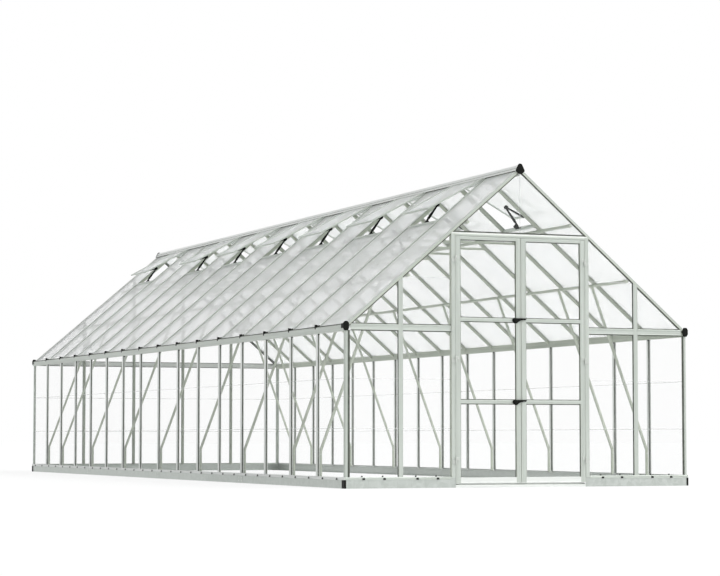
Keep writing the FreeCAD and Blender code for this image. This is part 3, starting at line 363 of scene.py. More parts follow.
def softPieces(rows, material):
    for node, name, rounding, segments in rows:
        target = bmesh.new()
        stamp(target, softened(node, rounding, segments))
        finishPiece(target, name, [material], stands=[node])


def shifts(places, along=yAxis):
    return [Matrix.Translation(along * place) for place in places]


def mirrored(section):
    return [(u, -v) for u, v in reversed(section)]


# a bolt or screw head on its washer, as shares of the head's radius
boltSettings = {"washer": (1.7, 1.6), "washerSides": 10, "washerDepth": 1.2, "top": 0.7, "sides": 8}


def boltHead(radius, height):
    part, look = bmesh.new(), boltSettings
    thick = look["washerDepth"]
    foot, rim = (radius * share * mm for share in look["washer"])
    bmesh.ops.create_cone(part, cap_ends=True, segments=look["washerSides"], radius1=foot, radius2=rim,
                          depth=thick * mm, matrix=Matrix.Translation((0, 0, thick / 2 * mm)))
    bmesh.ops.create_cone(part, cap_ends=True, segments=look["sides"], radius1=radius * mm,
                          radius2=radius * look["top"] * mm, depth=height * mm,
                          matrix=Matrix.Translation((0, 0, (thick + height / 2) * mm)))
    return part


def facing(direction, origin):
    u = zAxis if abs(direction.z) < 0.9 else xAxis
    return axes(origin, u.cross(direction).normalized(), direction.cross(u.cross(direction)).normalized())


def lengthsAlong(reach):
    step = 2 * reach / barLengths
    gap = 0.3 * mm
    return [(step * index - reach + gap, step * (index + 1) - reach - gap) for index in range(barLengths)]


# base: pressed channel with shallow upright swages, joint plates with bolts, covers, sill strips and clips

baseSettings = {"depth": 55, "sheet": 3, "rounding": 1.2, "swagesPerBay": 5,
                "swage": ((-0.5, -46), (0.8, -38), (0.8, 38), (-0.5, 46)), "swageLow": 8 * mm,
                "swageHigh": 61 * mm, "plateHalf": 60, "plateSheet": 1.5, "plateLow": 8 * mm,
                "plateHigh": 61 * mm, "bolt": 4.5, "boltLevels": (20 * mm, 49 * mm), "doorEdge": 0.58,
                "clearance": 0.3 * mm, "endPlate": (3.2 * mm, 0.2 * mm), "plateRounding": 0.6,
                "boltShare": 0.6, "boltHeight": 3, "doorSwages": 7, "doorSwageStart": 0.8, "backSwages": 23}
base, swages, plates = bmesh.new(), bmesh.new(), bmesh.new()
baseLow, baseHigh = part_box("base_rails")
height, depth, sheet = baseTop / mm, baseSettings["depth"], baseSettings["sheet"]
channel = [(-depth, 0), (0, 0), (0, height), (-depth, height), (-depth, height - sheet),
           (-sheet, height - sheet), (-sheet, sheet), (-depth, sheet)]
innerEnd = baseHigh.x - depth * mm - baseSettings["clearance"]


def swageRow(outward, face, places):
    run = xAxis if abs(outward.y) > 0.5 else yAxis
    rib = uprightBar(baseSettings["swage"], outward, face, 0, baseSettings["swageLow"],
                     baseSettings["swageHigh"])
    stamp(swages, rib, shifts(places, run))


def jointPlate(outward, face, middle):
    half, thick = baseSettings["plateHalf"], baseSettings["plateSheet"]
    plate = ((0, -half), (thick, -half), (thick, half), (0, half))
    stamp(plates, uprightBar(plate, outward, face, middle, baseSettings["plateLow"],
                             baseSettings["plateHigh"], baseSettings["plateRounding"]))
    front = outward * (face + thick * mm)
    reach = half * baseSettings["boltShare"] * mm
    heads = [facing(outward, front + yAxis * (middle + way * reach) + zAxis * level)
             for way in (-1, 1) for level in baseSettings["boltLevels"]]
    stamp(plates, boltHead(baseSettings["bolt"], baseSettings["boltHeight"]), heads, 1)


step = bay / baseSettings["swagesPerBay"]
for side in sides:
    outward = xAxis * side
    lengths = lengthsAlong(baseHigh.y)
    for ends in lengths:
        stamp(base, levelBar(channel, outward, baseHigh.x, 0, ends, baseSettings["rounding"]))
    rows = [step * (index + 0.5) - halfLength for index in range(bayCount * baseSettings["swagesPerBay"])]
    joinLines = [start for start, end in lengths[1:]]
    swageRow(outward, baseHigh.x, [row for row in rows if all(abs(row - line) > step for line in joinLines)])
    for line in joinLines:
        jointPlate(outward, baseHigh.x, line)
    for end in sides:  # a plate closes each end of the long channels
        xs = sorted((side * innerEnd, side * (baseHigh.x - baseSettings["clearance"])))
        ys = sorted(end * (baseHigh.y - inset) for inset in baseSettings["endPlate"])
        stamp(base, block((xs[0], ys[0], 0), (xs[1], ys[1], baseTop - baseSettings["clearance"]),
                          baseSettings["plateRounding"]))
    ends = (side * baseSettings["doorEdge"], side * innerEnd)
    stamp(base, levelBar(channel, -yAxis, baseHigh.y, 0, ends, baseSettings["rounding"]))
    places = [baseSettings["doorEdge"] + step * (index + baseSettings["doorSwageStart"])
              for index in range(baseSettings["doorSwages"])]
    swageRow(-yAxis, baseHigh.y, [side * place for place in places])
stamp(base, levelBar(channel, yAxis, baseHigh.y, 0, (-innerEnd, innerEnd), baseSettings["rounding"]))
count = baseSettings["backSwages"]
swageRow(yAxis, baseHigh.y, [step * (index - count // 2) for index in range(count)])
finishPiece(base, "base_channel", [baseSteel], stands=["base_rails"])
finishPiece(swages, "base_swages", [baseSteel])
finishPiece(plates, "base_joint_plates", [baseSteel, zincPlate])

# the strip has a drip groove near its foot and leans back on the posts at its head
stripSettings = {"section": ((-2, 0), (-0.5, 0), (0, 0.6), (0, 4), (-0.7, 4.8), (0, 5.6), (0, 16), (-6.8, 22),
                             (-6.8, 20.2), (-2, 15.6)), "jambEdge": 0.6153, "corner": 1.53, "rounding": 0.3}
strips = bmesh.new()
stripLow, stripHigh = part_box("sill_strips")
for side in sides:
    for ends in lengthsAlong(stripHigh.y):
        stamp(strips, levelBar(stripSettings["section"], xAxis * side, stripHigh.x, stripLow.z, ends,
                               stripSettings["rounding"]))
    ends = (side * stripSettings["jambEdge"], side * stripSettings["corner"])
    stamp(strips, levelBar(stripSettings["section"], -yAxis, stripHigh.y, stripLow.z, ends,
                           stripSettings["rounding"]), finish=1)
ends = (-stripSettings["corner"], stripSettings["corner"])
stamp(strips, levelBar(stripSettings["section"], yAxis, stripHigh.y, stripLow.z, ends,
                       stripSettings["rounding"]), finish=1)
# the long strips take the lighter copy of the aluminium, a painted highlight
finishPiece(strips, "sill_drip_strips", [paintedHighlight["along"], anodised["across"]],
            stands=["sill_strips"])
softPieces((("base_corner_covers", "base_covers", 2.5, 2), ("base_clips", "pane_clips", 1.5, 2)), blackNylon)

# a black stop stands on the base behind the pane at each clip of the front gable
stopSettings = {"section": ((-26, -6), (-26, 6), (-36, 5), (-36, -5)), "height": 22 * mm, "rounding": 1.5,
                "middles": (0.8235, 1.2825), "spread": 0.088}
stops = bmesh.new()
stop = uprightBar(stopSettings["section"], -yAxis, halfLength, 0, baseTop, baseTop + stopSettings["height"],
                  stopSettings["rounding"])
stamp(stops, stop, shifts([side * (middle + way * stopSettings["spread"]) for side in sides
                           for middle in stopSettings["middles"] for way in sides], xAxis))
finishPiece(stops, "pane_stops", [blackNylon])
print("base done")

# posts: T bars with two lines on the face and a bolt slot inside; angles at the corners

postSettings = {
    "wall": ((0, -18), (0, -9), (-1.2, -8), (0, -7), (0, 7), (-1.2, 8), (0, 9), (0, 18), (-3, 18), (-3, 6),
             (-25, 6), (-25, 2.5), (-22.5, 2.5), (-22.5, 4.5), (-16, 4.5), (-16, -4.5), (-22.5, -4.5),
             (-22.5, -2.5), (-25, -2.5), (-25, -6), (-3, -6), (-3, -18)),
    "corner": ((0, 6), (0, 16), (-1.2, 17), (0, 18), (0, 30), (-3, 30), (-3, 8), (-8, 3), (-30, 3), (-30, 0),
               (-18, 0), (-17, 1.2), (-16, 0), (-6, 0), (-6, 2), (-2, 2), (-2, 6)), "rounding": 0.5,
    "inner": -5, "gableWiden": 19 / 18, "frontPlace": 1.051, "backPlaces": (0.305, 0.915),
}
postLow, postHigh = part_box("wall_posts")
gablePosts = [(-yAxis, side, postSettings["frontPlace"]) for side in sides]
gablePosts += [(yAxis, side, place) for side in sides for place in postSettings["backPlaces"]]
posts = bmesh.new()
# the wall posts take the lighter copy of the aluminium, a painted highlight
for side in sides:
    post = uprightBar(postSettings["wall"], xAxis * side, halfWidth, 0, postLow.z, postHigh.z,
                      postSettings["rounding"])
    stamp(posts, post, shifts(postLines))
finishPiece(posts, "wall_uprights", [paintedHighlight["upright"]], stands=["wall_posts"])
posts = bmesh.new()
turns = [(Matrix.Translation((x * halfWidth, y * halfLength, postLow.z))
          @ Matrix.Rotation(math.radians(turn), 4, "Z"))
         for x, y, turn in ((1, -1, 0), (1, 1, 90), (-1, 1, 180), (-1, -1, 270))]
stamp(posts, bar(postSettings["corner"], postHigh.z - postLow.z, postSettings["rounding"]), turns)
finishPiece(posts, "corner_uprights", [anodised["upright"]], stands=["corner_posts"])
posts = bmesh.new()
wide = [(u, v * postSettings["gableWiden"]) for u, v in postSettings["wall"]]
for outward, side, place in gablePosts:
    post = uprightBar(wide, outward, halfLength, side * place, postLow.z, ridgeHeight,
                      postSettings["rounding"], postSettings["inner"])
    stamp(posts, underSlope(post, side))
finishPiece(posts, "gable_uprights", [anodised["upright"], millShade["upright"]],
            stands=["gable_posts"])
print("posts done")

# rails at eave height in the gables: a rolled head, a drip edge and an inner shelf

railSettings = {
    "section": ((-3, 0), (-1.5, 0), (1.2, 1.5), (1.2, 6), (0, 7.5), (0, 34), (-3, 34), (-3, 26), (-25, 26),
                (-25, 21), (-3, 21)), "head": ((-3, 34.2), (0, 34.2), (2.2, 36), (2.2, 45), (0.8, 47),
                                               (-3, 47)), "rounding": 0.5, "inner": -5,
    "front": ((0.6153, 1.0317), (1.0703, 1.4776)), "back": ((0.3243, 0.8957), (0.9343, 1.4776)),
    "middle": 0.2857,
}


def gableSpans(look):
    spans = [(-yAxis, low * side, high * side) for low, high in look["front"] for side in sides]
    spans += [(yAxis, low * side, high * side) for low, high in look["back"] for side in sides]
    return [*spans, (yAxis, -look["middle"], look["middle"])]


rails = bmesh.new()
railLow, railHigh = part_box("gable_rails")
railSpans = gableSpans(railSettings)
# the back gable's rails take the lighter copy, a painted highlight; the front rails' inner faces take the
# darker copy, painted shade
for outward, *ends in railSpans:
    finish = 0 if outward.y < 0 else 2
    stamp(rails, levelBar(railSettings["section"], outward, halfLength, railLow.z, ends,
                          railSettings["rounding"], None if finish else railSettings["inner"]), finish=finish)
    stamp(rails, levelBar(railSettings["head"], outward, halfLength, railLow.z, ends,
                          railSettings["rounding"]), finish=finish)
finishPiece(rails, "gable_crossbars", [anodised["across"], millShade["across"], paintedHighlight["across"]],
            stands=["gable_rails"])

# eaves: gutter beams with a rolled lip, plastic corner connectors and rafter end caps

eaveSettings = {
    "section": ((-30, -38), (-12, -38), (-11, -36.8), (-10, -38), (11, -38), (12, -36.5), (12, -22),
                (10.8, -21), (12, -20), (12, 3), (13.2, 4), (13.2, 9), (12, 10), (9, 10), (9, -17), (-8, -17),
                (-8, 0.8), (-30, 19.5)), "rounding": 0.5, "inner": -25,
}
beams = bmesh.new()
for side in sides:
    for ends in lengthsAlong(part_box("eave_beams")[1].y):
        stamp(beams, levelBar(eaveSettings["section"], xAxis * side, halfWidth, eaveHeight, ends,
                              eaveSettings["rounding"], eaveSettings["inner"]))
finishPiece(beams, "eave_gutters", [anodised["along"], millShade["along"]], stands=["eave_beams"])
softPieces((("eave_connectors", "eave_corner_hubs", 9, 1), ("ridge_end_caps", "ridge_caps", 4, 3)),
           blackNylon)

# each rafter's cap hooks over the gutter's lip with a round nose
capSettings = {"rounding": 3, "noseReach": (-6 * mm, 15.5 * mm), "noseHalf": 12 * mm, "noseDrop": 3 * mm,
               "noseRise": 1 * mm, "noseRounding": 5}
caps = bmesh.new()
stamp(caps, softened("rafter_end_caps", capSettings["rounding"]))
for side in sides:
    xs = sorted(side * (halfWidth + reach) for reach in capSettings["noseReach"])
    low = (xs[0], -capSettings["noseHalf"], eaveHeight - capSettings["noseDrop"])
    high = (xs[1], capSettings["noseHalf"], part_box("rafter_end_caps")[1].z + capSettings["noseRise"])
    stamp(caps, block(low, high, capSettings["noseRounding"]), shifts(postLines))
finishPiece(caps, "rafter_caps", [blackNylon], stands=["rafter_end_caps"])
print("eaves done")

# rafters: a flange with two beads over the panels, a web with a bolt slot below

rafterSettings = {
    "flange": ((3.3, -18), (3.3, -8.5), (4.6, -7.5), (4.6, -4.5), (3.3, -3.5), (3.3, 3.5), (4.6, 4.5),
               (4.6, 7.5), (3.3, 8.5), (3.3, 18), (0.3, 18), (0.3, -18)),
    "web": ((0.4, -5), (0.4, 5), (-30, 5), (-30, 2), (-27.5, 2), (-27.5, 3.8), (-21, 3.8), (-21, -3.8),
            (-27.5, -3.8), (-27.5, -2), (-30, -2), (-30, -5)), "gable": ((4.6, 0), (4.6, 4), (3.3, 5),
                                                                         (3.3, 36), (0.3, 36), (0.3, 5),
                                                                         (-16, 5), (-16, 0), (-8, 0),
                                                                         (-7, 1.2), (-6, 0)), "rounding": 0.5,
    "gableInner": -9, "head": 5.3 * mm, "flangeEnd": 2 * mm, "webEnd": 30.3 * mm, "gableEnd": 32.8 * mm,
    "spare": 0.1,
}


def rafterBar(section, side, along, foot, rounding=0.0, inner=None):
    out, down = outwardOf(side), downOf(side)
    length = halfWidth / math.cos(slope) + rafterSettings["spare"]
    top = zAxis * ridgeHeight - down * rafterSettings["spare"] / 2
    start = top if out.cross(along).z < 0 else top + down * length
    part = bar(section, length, rounding, axes(start, out, along), inner)
    cutOff(part, xAxis * side * rafterSettings["head"], -xAxis * side)
    return cutOff(part, xAxis * side * foot, xAxis * side)


flangeFoot, webFoot = halfWidth + rafterSettings["flangeEnd"], halfWidth - rafterSettings["webEnd"]
gableFoot = halfWidth - rafterSettings["gableEnd"]
for side, word in sideWords.items():
    rafters = bmesh.new()
    rounding = rafterSettings["rounding"]
    stamp(rafters, rafterBar(rafterSettings["flange"], side, yAxis, flangeFoot, rounding), shifts(postLines))
    # the webs take the darker inside copy, painted shade
    stamp(rafters, rafterBar(rafterSettings["web"], side, yAxis, webFoot, rounding), shifts(postLines), 1)
    for end in sides:
        part = rafterBar(rafterSettings["gable"], side, -yAxis * end, gableFoot, rounding,
                         rafterSettings["gableInner"])
        stamp(rafters, part, shifts([end * halfLength]))
    runs = f"{word}_slope"
    finishPiece(rafters, f"{word}_rafters", [anodised[runs], millShade[runs]], stands=["rafters"])

# ridge, vent sills, purlins, ties, braces and threshold keep their solids' shapes with drawn corners
# the ridge and threshold take the lighter copy, a painted highlight; purlins, ties and braces take the darker
# copy, painted shade
for node, name, material, rounding in (
        ("ridge_beam", "ridge_bar", paintedHighlight["along"], 1.5),
        ("vent_sills", "vent_ledges", anodised["along"], 0.8),
        ("purlins", "purlin_tubes", millShade["along"], 2.5),
        ("collar_ties", "tie_tubes", millShade["across"], 2.5),
        ("knee_braces", "brace_tubes", millShade["upright"], 2.5),
        ("door_threshold", "door_sill", paintedHighlight["across"], 2)):
    softPieces(((node, name, rounding, 2),), material)

# a sleeve holds each purlin under each rafter and in each gable, and bolts hold the braces
fixingSettings = {"purlins": (1.322, 0.640), "sleeve": (-52.5 * mm, -30.1 * mm), "half": 13 * mm,
                  "wide": 11 * mm, "rounding": 2, "bolt": 4.2, "boltHeight": 3, "braceFace": 10 * mm,
                  "braceLine": 1489.7 * mm, "footBolts": (115 * mm, 262 * mm), "endSleeve": (8 * mm, 62 * mm),
                  "bracedLines": (0, 1, 3, 5, 7, 9, 11, 13, 14)}
fixings = bmesh.new()
for side in sides:
    out, down = outwardOf(side), downOf(side)
    lies = Matrix((down, yAxis, down.cross(yAxis))).transposed().to_4x4()
    lies.translation = zAxis * ridgeHeight
    flip = 1 if down.cross(yAxis).dot(out) > 0 else -1
    heights = sorted(flip * level for level in fixingSettings["sleeve"])
    for place in fixingSettings["purlins"]:
        sleeve = block((place - fixingSettings["half"], -fixingSettings["wide"], heights[0]),
                       (place + fixingSettings["half"], fixingSettings["wide"], heights[1]),
                       fixingSettings["rounding"])
        stamp(fixings, sleeve, [spot @ lies for spot in shifts(postLines)])
        for end in sides:
            near, far = sorted(end * (halfLength - back) for back in fixingSettings["endSleeve"])
            sleeve = block((place - fixingSettings["half"], near, heights[0]),
                           (place + fixingSettings["half"], far, heights[1]), fixingSettings["rounding"])
            stamp(fixings, sleeve, [lies])
        under = zAxis * ridgeHeight + down * place + out * fixingSettings["sleeve"][0]
        stamp(fixings, boltHead(fixingSettings["bolt"], fixingSettings["boltHeight"]),
              [facing(-out, under + yAxis * line) for line in postLines], 1)
    spots = [xAxis * side * fixingSettings["braceLine"] + zAxis * level
             for level in fixingSettings["footBolts"]]
    heads = [facing(yAxis * way, spot + yAxis * (postLines[index] + way * fixingSettings["braceFace"]))
             for index in fixingSettings["bracedLines"] for spot in spots for way in sides]
    stamp(fixings, boltHead(fixingSettings["bolt"], fixingSettings["boltHeight"]), heads, 1)
# the sleeves take the darker copy, painted shade
finishPiece(fixings, "purlin_sleeves", [millShade["along"], zincPlate])
print("roof frame done")

# rubber seals: beside the bars on the walls, under the gable rafters and along the roof bars, partly real
# seals and partly painted shade lines; at the eaves a dark strip that is painted shade in the gutter's gap

sealSettings = {
    "web": ((-8, 6.05), (-8, 7.2), (-17.5, 7.2), (-17.5, 6.05)), "gable": ((-6.6, 12), (-6.6, 20.5),
                                                                           (-20, 20.5), (-20, 12)),
    "corner": (1.4845, 1.502), "cornerHigh": 1.236, "cornerFront": 0.6,
    "strip": ((-0.6, 0), (-0.6, 7), (-3.2, 7), (-3.2, 0)), "stripHigh": 7 * mm,
    "rafter": ((-16.3, 0.6), (-16.3, 20), (-21, 20), (-23.5, 17), (-23.5, 0.6)),
    "roof": ((0.05, 18.05), (0.05, 19.6), (2.0, 19.6), (2.8, 19), (2.8, 18.05)),
    "eave": ((0.3, 0), (0.3, 14), (10, 14), (15, 10), (15, 3), (10, 0)), "eaveUp": 18 * mm,
    "overhang": 2 * mm, "bayLess": 37 * mm, "headRise": 12 * mm, "headReach": 0.62,
    "headSeal": ((-0.6, 0), (-0.6, 12), (-3.2, 12), (-3.2, 0)), "headStrip": ((-3.1, 0), (0, 0), (1.4, 2),
                                                                              (1.4, 10), (0.4, 12),
                                                                              (-3.1, 12)),
    "headRounding": 0.4,
}
seals = bmesh.new()
for side in sides:
    # dark strips on both sides of each wall post's web paint the shade on the web's sides
    for section in (sealSettings["web"], mirrored(sealSettings["web"])):
        strip = uprightBar(section, xAxis * side, halfWidth, 0, stripHigh.z, postHigh.z)
        stamp(seals, strip, shifts(postLines))
    for section in (sealSettings["roof"], mirrored(sealSettings["roof"])):
        stamp(seals, rafterBar(section, side, yAxis, flangeFoot), shifts(postLines), 1)
    # along each bay's eave a dark strip paints the shadow gap between the sheet and the gutter's lip
    out, down = outwardOf(side), downOf(side)
    foot = zAxis * ridgeHeight + down * ((halfWidth + sealSettings["overhang"]) / math.cos(slope)
                                         - sealSettings["eaveUp"])
    length = bay - sealSettings["bayLess"]
    begin = yAxis * out.cross(down).y * -length / 2
    stamp(seals, bar(sealSettings["eave"], length, 0, axes(foot + begin, out, down)), shifts(bayMiddles))
    for end in sides:
        part = rafterBar(sealSettings["rafter"], side, -yAxis * end, gableFoot)
        stamp(seals, part, shifts([end * halfLength]))
    low, high = (edge * side / mm for edge in sealSettings["corner"])
    front, back = sealSettings["cornerFront"], sealSettings["strip"][2][0]
    section = ((front, low), (front, high), (back, high), (back, low))
    stamp(seals, uprightBar(section, -yAxis, halfLength, 0, stripHigh.z, sealSettings["cornerHigh"]))
for side in sides:
    for section in (sealSettings["gable"], mirrored(sealSettings["gable"])):
        strip = uprightBar(section, -yAxis, halfLength, side * postSettings["frontPlace"], stripHigh.z,
                           ridgeHeight)
        stamp(seals, underSlope(strip, side))
for outward, *ends in railSpans:
    for level in (railHigh.z, railLow.z - sealSettings["stripHigh"]):
        stamp(seals, levelBar(sealSettings["strip"], outward, halfLength, level, ends))
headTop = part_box("door_surround")[1].z
reach = (-sealSettings["headReach"], sealSettings["headReach"])
strip = levelBar(sealSettings["headSeal"], -yAxis, halfLength, headTop + sealSettings["headRise"], reach)
stamp(seals, underSlope(underSlope(strip, 1), -1))

# a pale bead lies along each flank of the ridge bar, and a dark strip under its skirt between the vents is
# painted shade
ridgeSettings = {"flank": ((37.4, -12.7), (20, 21)), "bead": ((-0.3, -2.2), (0.8, -1.6), (0.8, 1.6),
                                                              (-0.3, 2.2)), "beadShare": 0.45,
                 "skirt": 36.7 * mm, "lip": ((-0.3, 3.8), (1.2, 4.4), (1.2, 9.4), (-0.3, 10)),
                 "lipLess": 40 * mm}
ventLines = {joint["pos_m"][1] for name, joint in joints.items() if "_vent_" in name}
plainBays = [middle for middle in bayMiddles if all(abs(middle - line) > bay / 2 for line in ventLines)]
for side in sides:
    low, high = (Vector((side * x * mm, 0, ridgeHeight + z * mm)) for x, z in ridgeSettings["flank"])
    up = (high - low).normalized()
    start = low.lerp(high, ridgeSettings["beadShare"]) + yAxis * side * halfLength
    stamp(seals, bar(ridgeSettings["bead"], 2 * halfLength, 0, axes(start, yAxis.cross(up) * side, up)),
          finish=1)
    length = bay - ridgeSettings["lipLess"]
    start = zAxis * ridgeHeight + downOf(side) * ridgeSettings["skirt"] + yAxis * side * length / 2
    stamp(seals, bar(ridgeSettings["lip"], length, 0, axes(start, downOf(side), outwardOf(side))),
          shifts(plainBays))
finishPiece(seals, "glazing_seals_and_painted_shade", [sealAndPaintedShade, paleSealAndPaintedShade])
# a strip above the door head in the lighter copy, a painted highlight
flashing = bmesh.new()
strip = levelBar(sealSettings["headStrip"], -yAxis, halfLength, headTop, reach, sealSettings["headRounding"])
stamp(flashing, underSlope(underSlope(strip, 1), -1))
finishPiece(flashing, "door_head_flashing_painted_highlight", [paintedHighlight["across"]])

# a small black clip locks the head of each wall post under the gutter beam
topClipSettings = {"section": ((-7, -9), (-7, 9), (-19, 9), (-23, 6), (-23, -6), (-19, -9)), "height": 9 * mm,
                   "rounding": 1.5}
clips = bmesh.new()
for side in sides:
    clip = uprightBar(topClipSettings["section"], xAxis * side, halfWidth, 0,
                      postHigh.z - topClipSettings["height"], postHigh.z, topClipSettings["rounding"])
    stamp(clips, clip, shifts(postLines))
finishPiece(clips, "post_head_clips", [blackNylon])
print("seals done")

# joint strips between the courses of panes

jointSettings = {"half": 2.6, "near": -2.2, "far": -7.4, "levels": (0.467, 0.858), "gableLevel": 1.666,
                 "front": ((0.616, 1.031), (1.071, 1.483)), "back": ((0.325, 0.895), (0.935, 1.483)),
                 "middle": 0.285, "peak": (2.034, 2.506), "rounding": 0.8}
strips = bmesh.new()
near, far, half = jointSettings["near"], jointSettings["far"], jointSettings["half"]
rounding = jointSettings["rounding"]
section = [(near, -half), (near, half), (far, half), (far, -half)]
spans = gableSpans(jointSettings)
for level in jointSettings["levels"]:
    for side in sides:
        reach = (bay - sealSettings["bayLess"]) / 2
        strip = levelBar(section, xAxis * side, halfWidth, level, (-reach, reach), rounding)
        stamp(strips, strip, shifts(bayMiddles))
    for outward, *ends in spans:
        stamp(strips, levelBar(section, outward, halfLength, level, ends, rounding))
for side in sides:
    ends = [edge * side for edge in jointSettings["front"][0]]
    strip = levelBar(section, -yAxis, halfLength, jointSettings["gableLevel"], ends, rounding)
    stamp(strips, underSlope(strip, side))
stamp(strips, uprightBar(section, -yAxis, halfLength, 0, *jointSettings["peak"], rounding))
finishPiece(strips, "pane_joint_strips", [frostedStrip])

# doors: surround, leaves with seals, hinges and latches

doorSettings = {
    "stile": ((0, -21), (0, -12), (-1.2, -11), (0, -10), (0, 10), (-1.2, 11), (0, 12), (0, 21), (-25, 21),
              (-25, -21)), "stileMiddles": (23 * mm, 557 * mm), "rounding": 1.6, "inner": -8,
    "railEnds": (44 * mm, 536 * mm), "depth": 25, "rails": ((36, 44), (666, 30), (1322, 30), (1975, 26)),
    "railRounding": 3, "jamb": ((0, -17.5), (0, -10), (-1.2, -9), (0, -8), (0, 17.5), (-40, 17.5),
                                (-40, -17.5)), "jambMiddle": 597.5 * mm,
    "head": ((0, 0), (0, 5), (2, 7), (2, 15), (0.5, 18), (-40, 18), (-40, 0)), "headHeight": 18 * mm,
    "headReach": 579.7 * mm, "casingRounding": 0.8, "sealWidth": 6 * mm, "sealDepths": (8.3 * mm, 11.2 * mm),
    "sealRounding": 0.8, "foot": ((0, 0), (0, 6), (-1.4, 7), (0, 8), (0, 44), (-25, 44), (-25, 0)),
}
hingeSettings = {"radius": 6.5, "half": 25 * mm, "plate": 2 * mm, "reach": 24 * mm, "line": 579 * mm,
                 "front": 6.8 * mm, "margin": 180 * mm, "gap": 0.3 * mm, "seat": 0.1 * mm, "screw": 1.9,
                 "screwShares": (0.27, 0.73), "screwPlace": 0.55, "screwHeight": 0.9, "plateRounding": 0.4}
surroundLow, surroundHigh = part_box("door_surround")
doorFace = -surroundLow.y
surround = bmesh.new()
for side in sides:
    section = doorSettings["jamb"] if side > 0 else mirrored(doorSettings["jamb"])
    stamp(surround, uprightBar(section, -yAxis, doorFace, side * doorSettings["jambMiddle"], surroundLow.z,
                               surroundHigh.z, doorSettings["casingRounding"], doorSettings["inner"]))
ends = (-doorSettings["headReach"], doorSettings["headReach"])
stamp(surround, levelBar(doorSettings["head"], -yAxis, doorFace, surroundHigh.z - doorSettings["headHeight"],
                         ends, doorSettings["casingRounding"], doorSettings["inner"]), finish=2)
finishPiece(surround, "door_casing", [anodised["upright"], millShade["upright"], anodised["across"],
                                      millShade["across"]], stands=["door_surround"])


# dark seals round each door pane, partly real seals and partly painted shade in the reveals
def doorSeals(seals, xs, bottom, top, count):
    wide = doorSettings["sealWidth"]
    front, back = (depth - doorFace for depth in doorSettings["sealDepths"])
    for low, high in (((xs[0], front, top - wide), (xs[1], back, top)),
                      ((xs[0], front, bottom), (xs[0] + wide, back, top)),
                      ((xs[1] - wide, front, bottom), (xs[1], back, top)),
                      ((xs[0], front, bottom), (xs[1], back, bottom + wide)))[:count]:
        stamp(seals, block(low, high, doorSettings["sealRounding"]))


def doorHinge(target, side, way, floor, ceiling, finish):
    look = hingeSettings
    line = side * look["line"]
    barrel = drum(look["radius"], look["radius"], (ceiling - floor) / mm)
    stamp(target, barrel, [Matrix.Translation((line, -doorFace - look["front"], (floor + ceiling) / 2))],
          finish)
    outer = line + side * way * (look["radius"] * mm + look["reach"])
    xs = sorted((line, outer))
    face = -doorFace - look["plate"] - look["seat"]
    stamp(target, block((xs[0], face, floor), (xs[1], -doorFace - look["seat"], ceiling),
                        look["plateRounding"]), finish=finish)
    middle = line + side * way * (look["radius"] * mm + look["reach"] * look["screwPlace"])
    heads = [facing(-yAxis, (middle, face, floor + (ceiling - floor) * share))
             for share in look["screwShares"]]
    stamp(target, boltHead(look["screw"], look["screwHeight"]), heads, finish)


def doorLeaf(side):
    word, look = sideWords[side], doorSettings
    leaf, seals, hinges = bmesh.new(), bmesh.new(), bmesh.new()
    low, high = look["rails"][0][0] * mm, sum(look["rails"][-1]) * mm
    for middle in look["stileMiddles"]:
        stamp(leaf, uprightBar(look["stile"], -yAxis, doorFace, side * middle, low, high, look["rounding"],
                               look["inner"]))
    ends = [side * end for end in look["railEnds"]]
    # the foot rail takes the lighter copy, a painted highlight
    stamp(leaf, levelBar(look["foot"], -yAxis, doorFace, low, ends, look["rounding"]), finish=4)
    for floor, tall in look["rails"][1:]:
        rail = ((0, 0), (0, tall), (-look["depth"], tall), (-look["depth"], 0))
        stamp(leaf, levelBar(rail, -yAxis, doorFace, floor * mm, ends, look["railRounding"], look["inner"]),
              finish=2)
    for (floor, tall), (ceiling, _) in zip(look["rails"], look["rails"][1:]):
        # the lowest pane stands straight in the foot rail
        count = 3 if floor == look["rails"][0][0] else 4
        doorSeals(seals, sorted(ends), (floor + tall) * mm, ceiling * mm, count)
    margin, gap, half = hingeSettings["margin"], hingeSettings["gap"], hingeSettings["half"]
    for level in (low + margin, (low + high) / 2, high - margin):
        doorHinge(leaf, side, -1, level + gap, level + half, 5)
        doorHinge(hinges, side, 1, level - half, level - gap, 0)
    body = f"{word}_door"
    finishPiece(leaf, f"{word}_door_bars", [anodised["upright"], millShade["upright"], anodised["across"],
                                            millShade["across"], paintedHighlight["across"], zincPlate], body,
                [f"{word}_door_frame"])
    finishPiece(seals, f"{word}_door_seals_and_painted_shade", [sealAndPaintedShade], body)
    finishPiece(hinges, f"{word}_door_pintles", [zincPlate], stands=["door_hinge_pintles"])


for side in sides:
    doorLeaf(side)

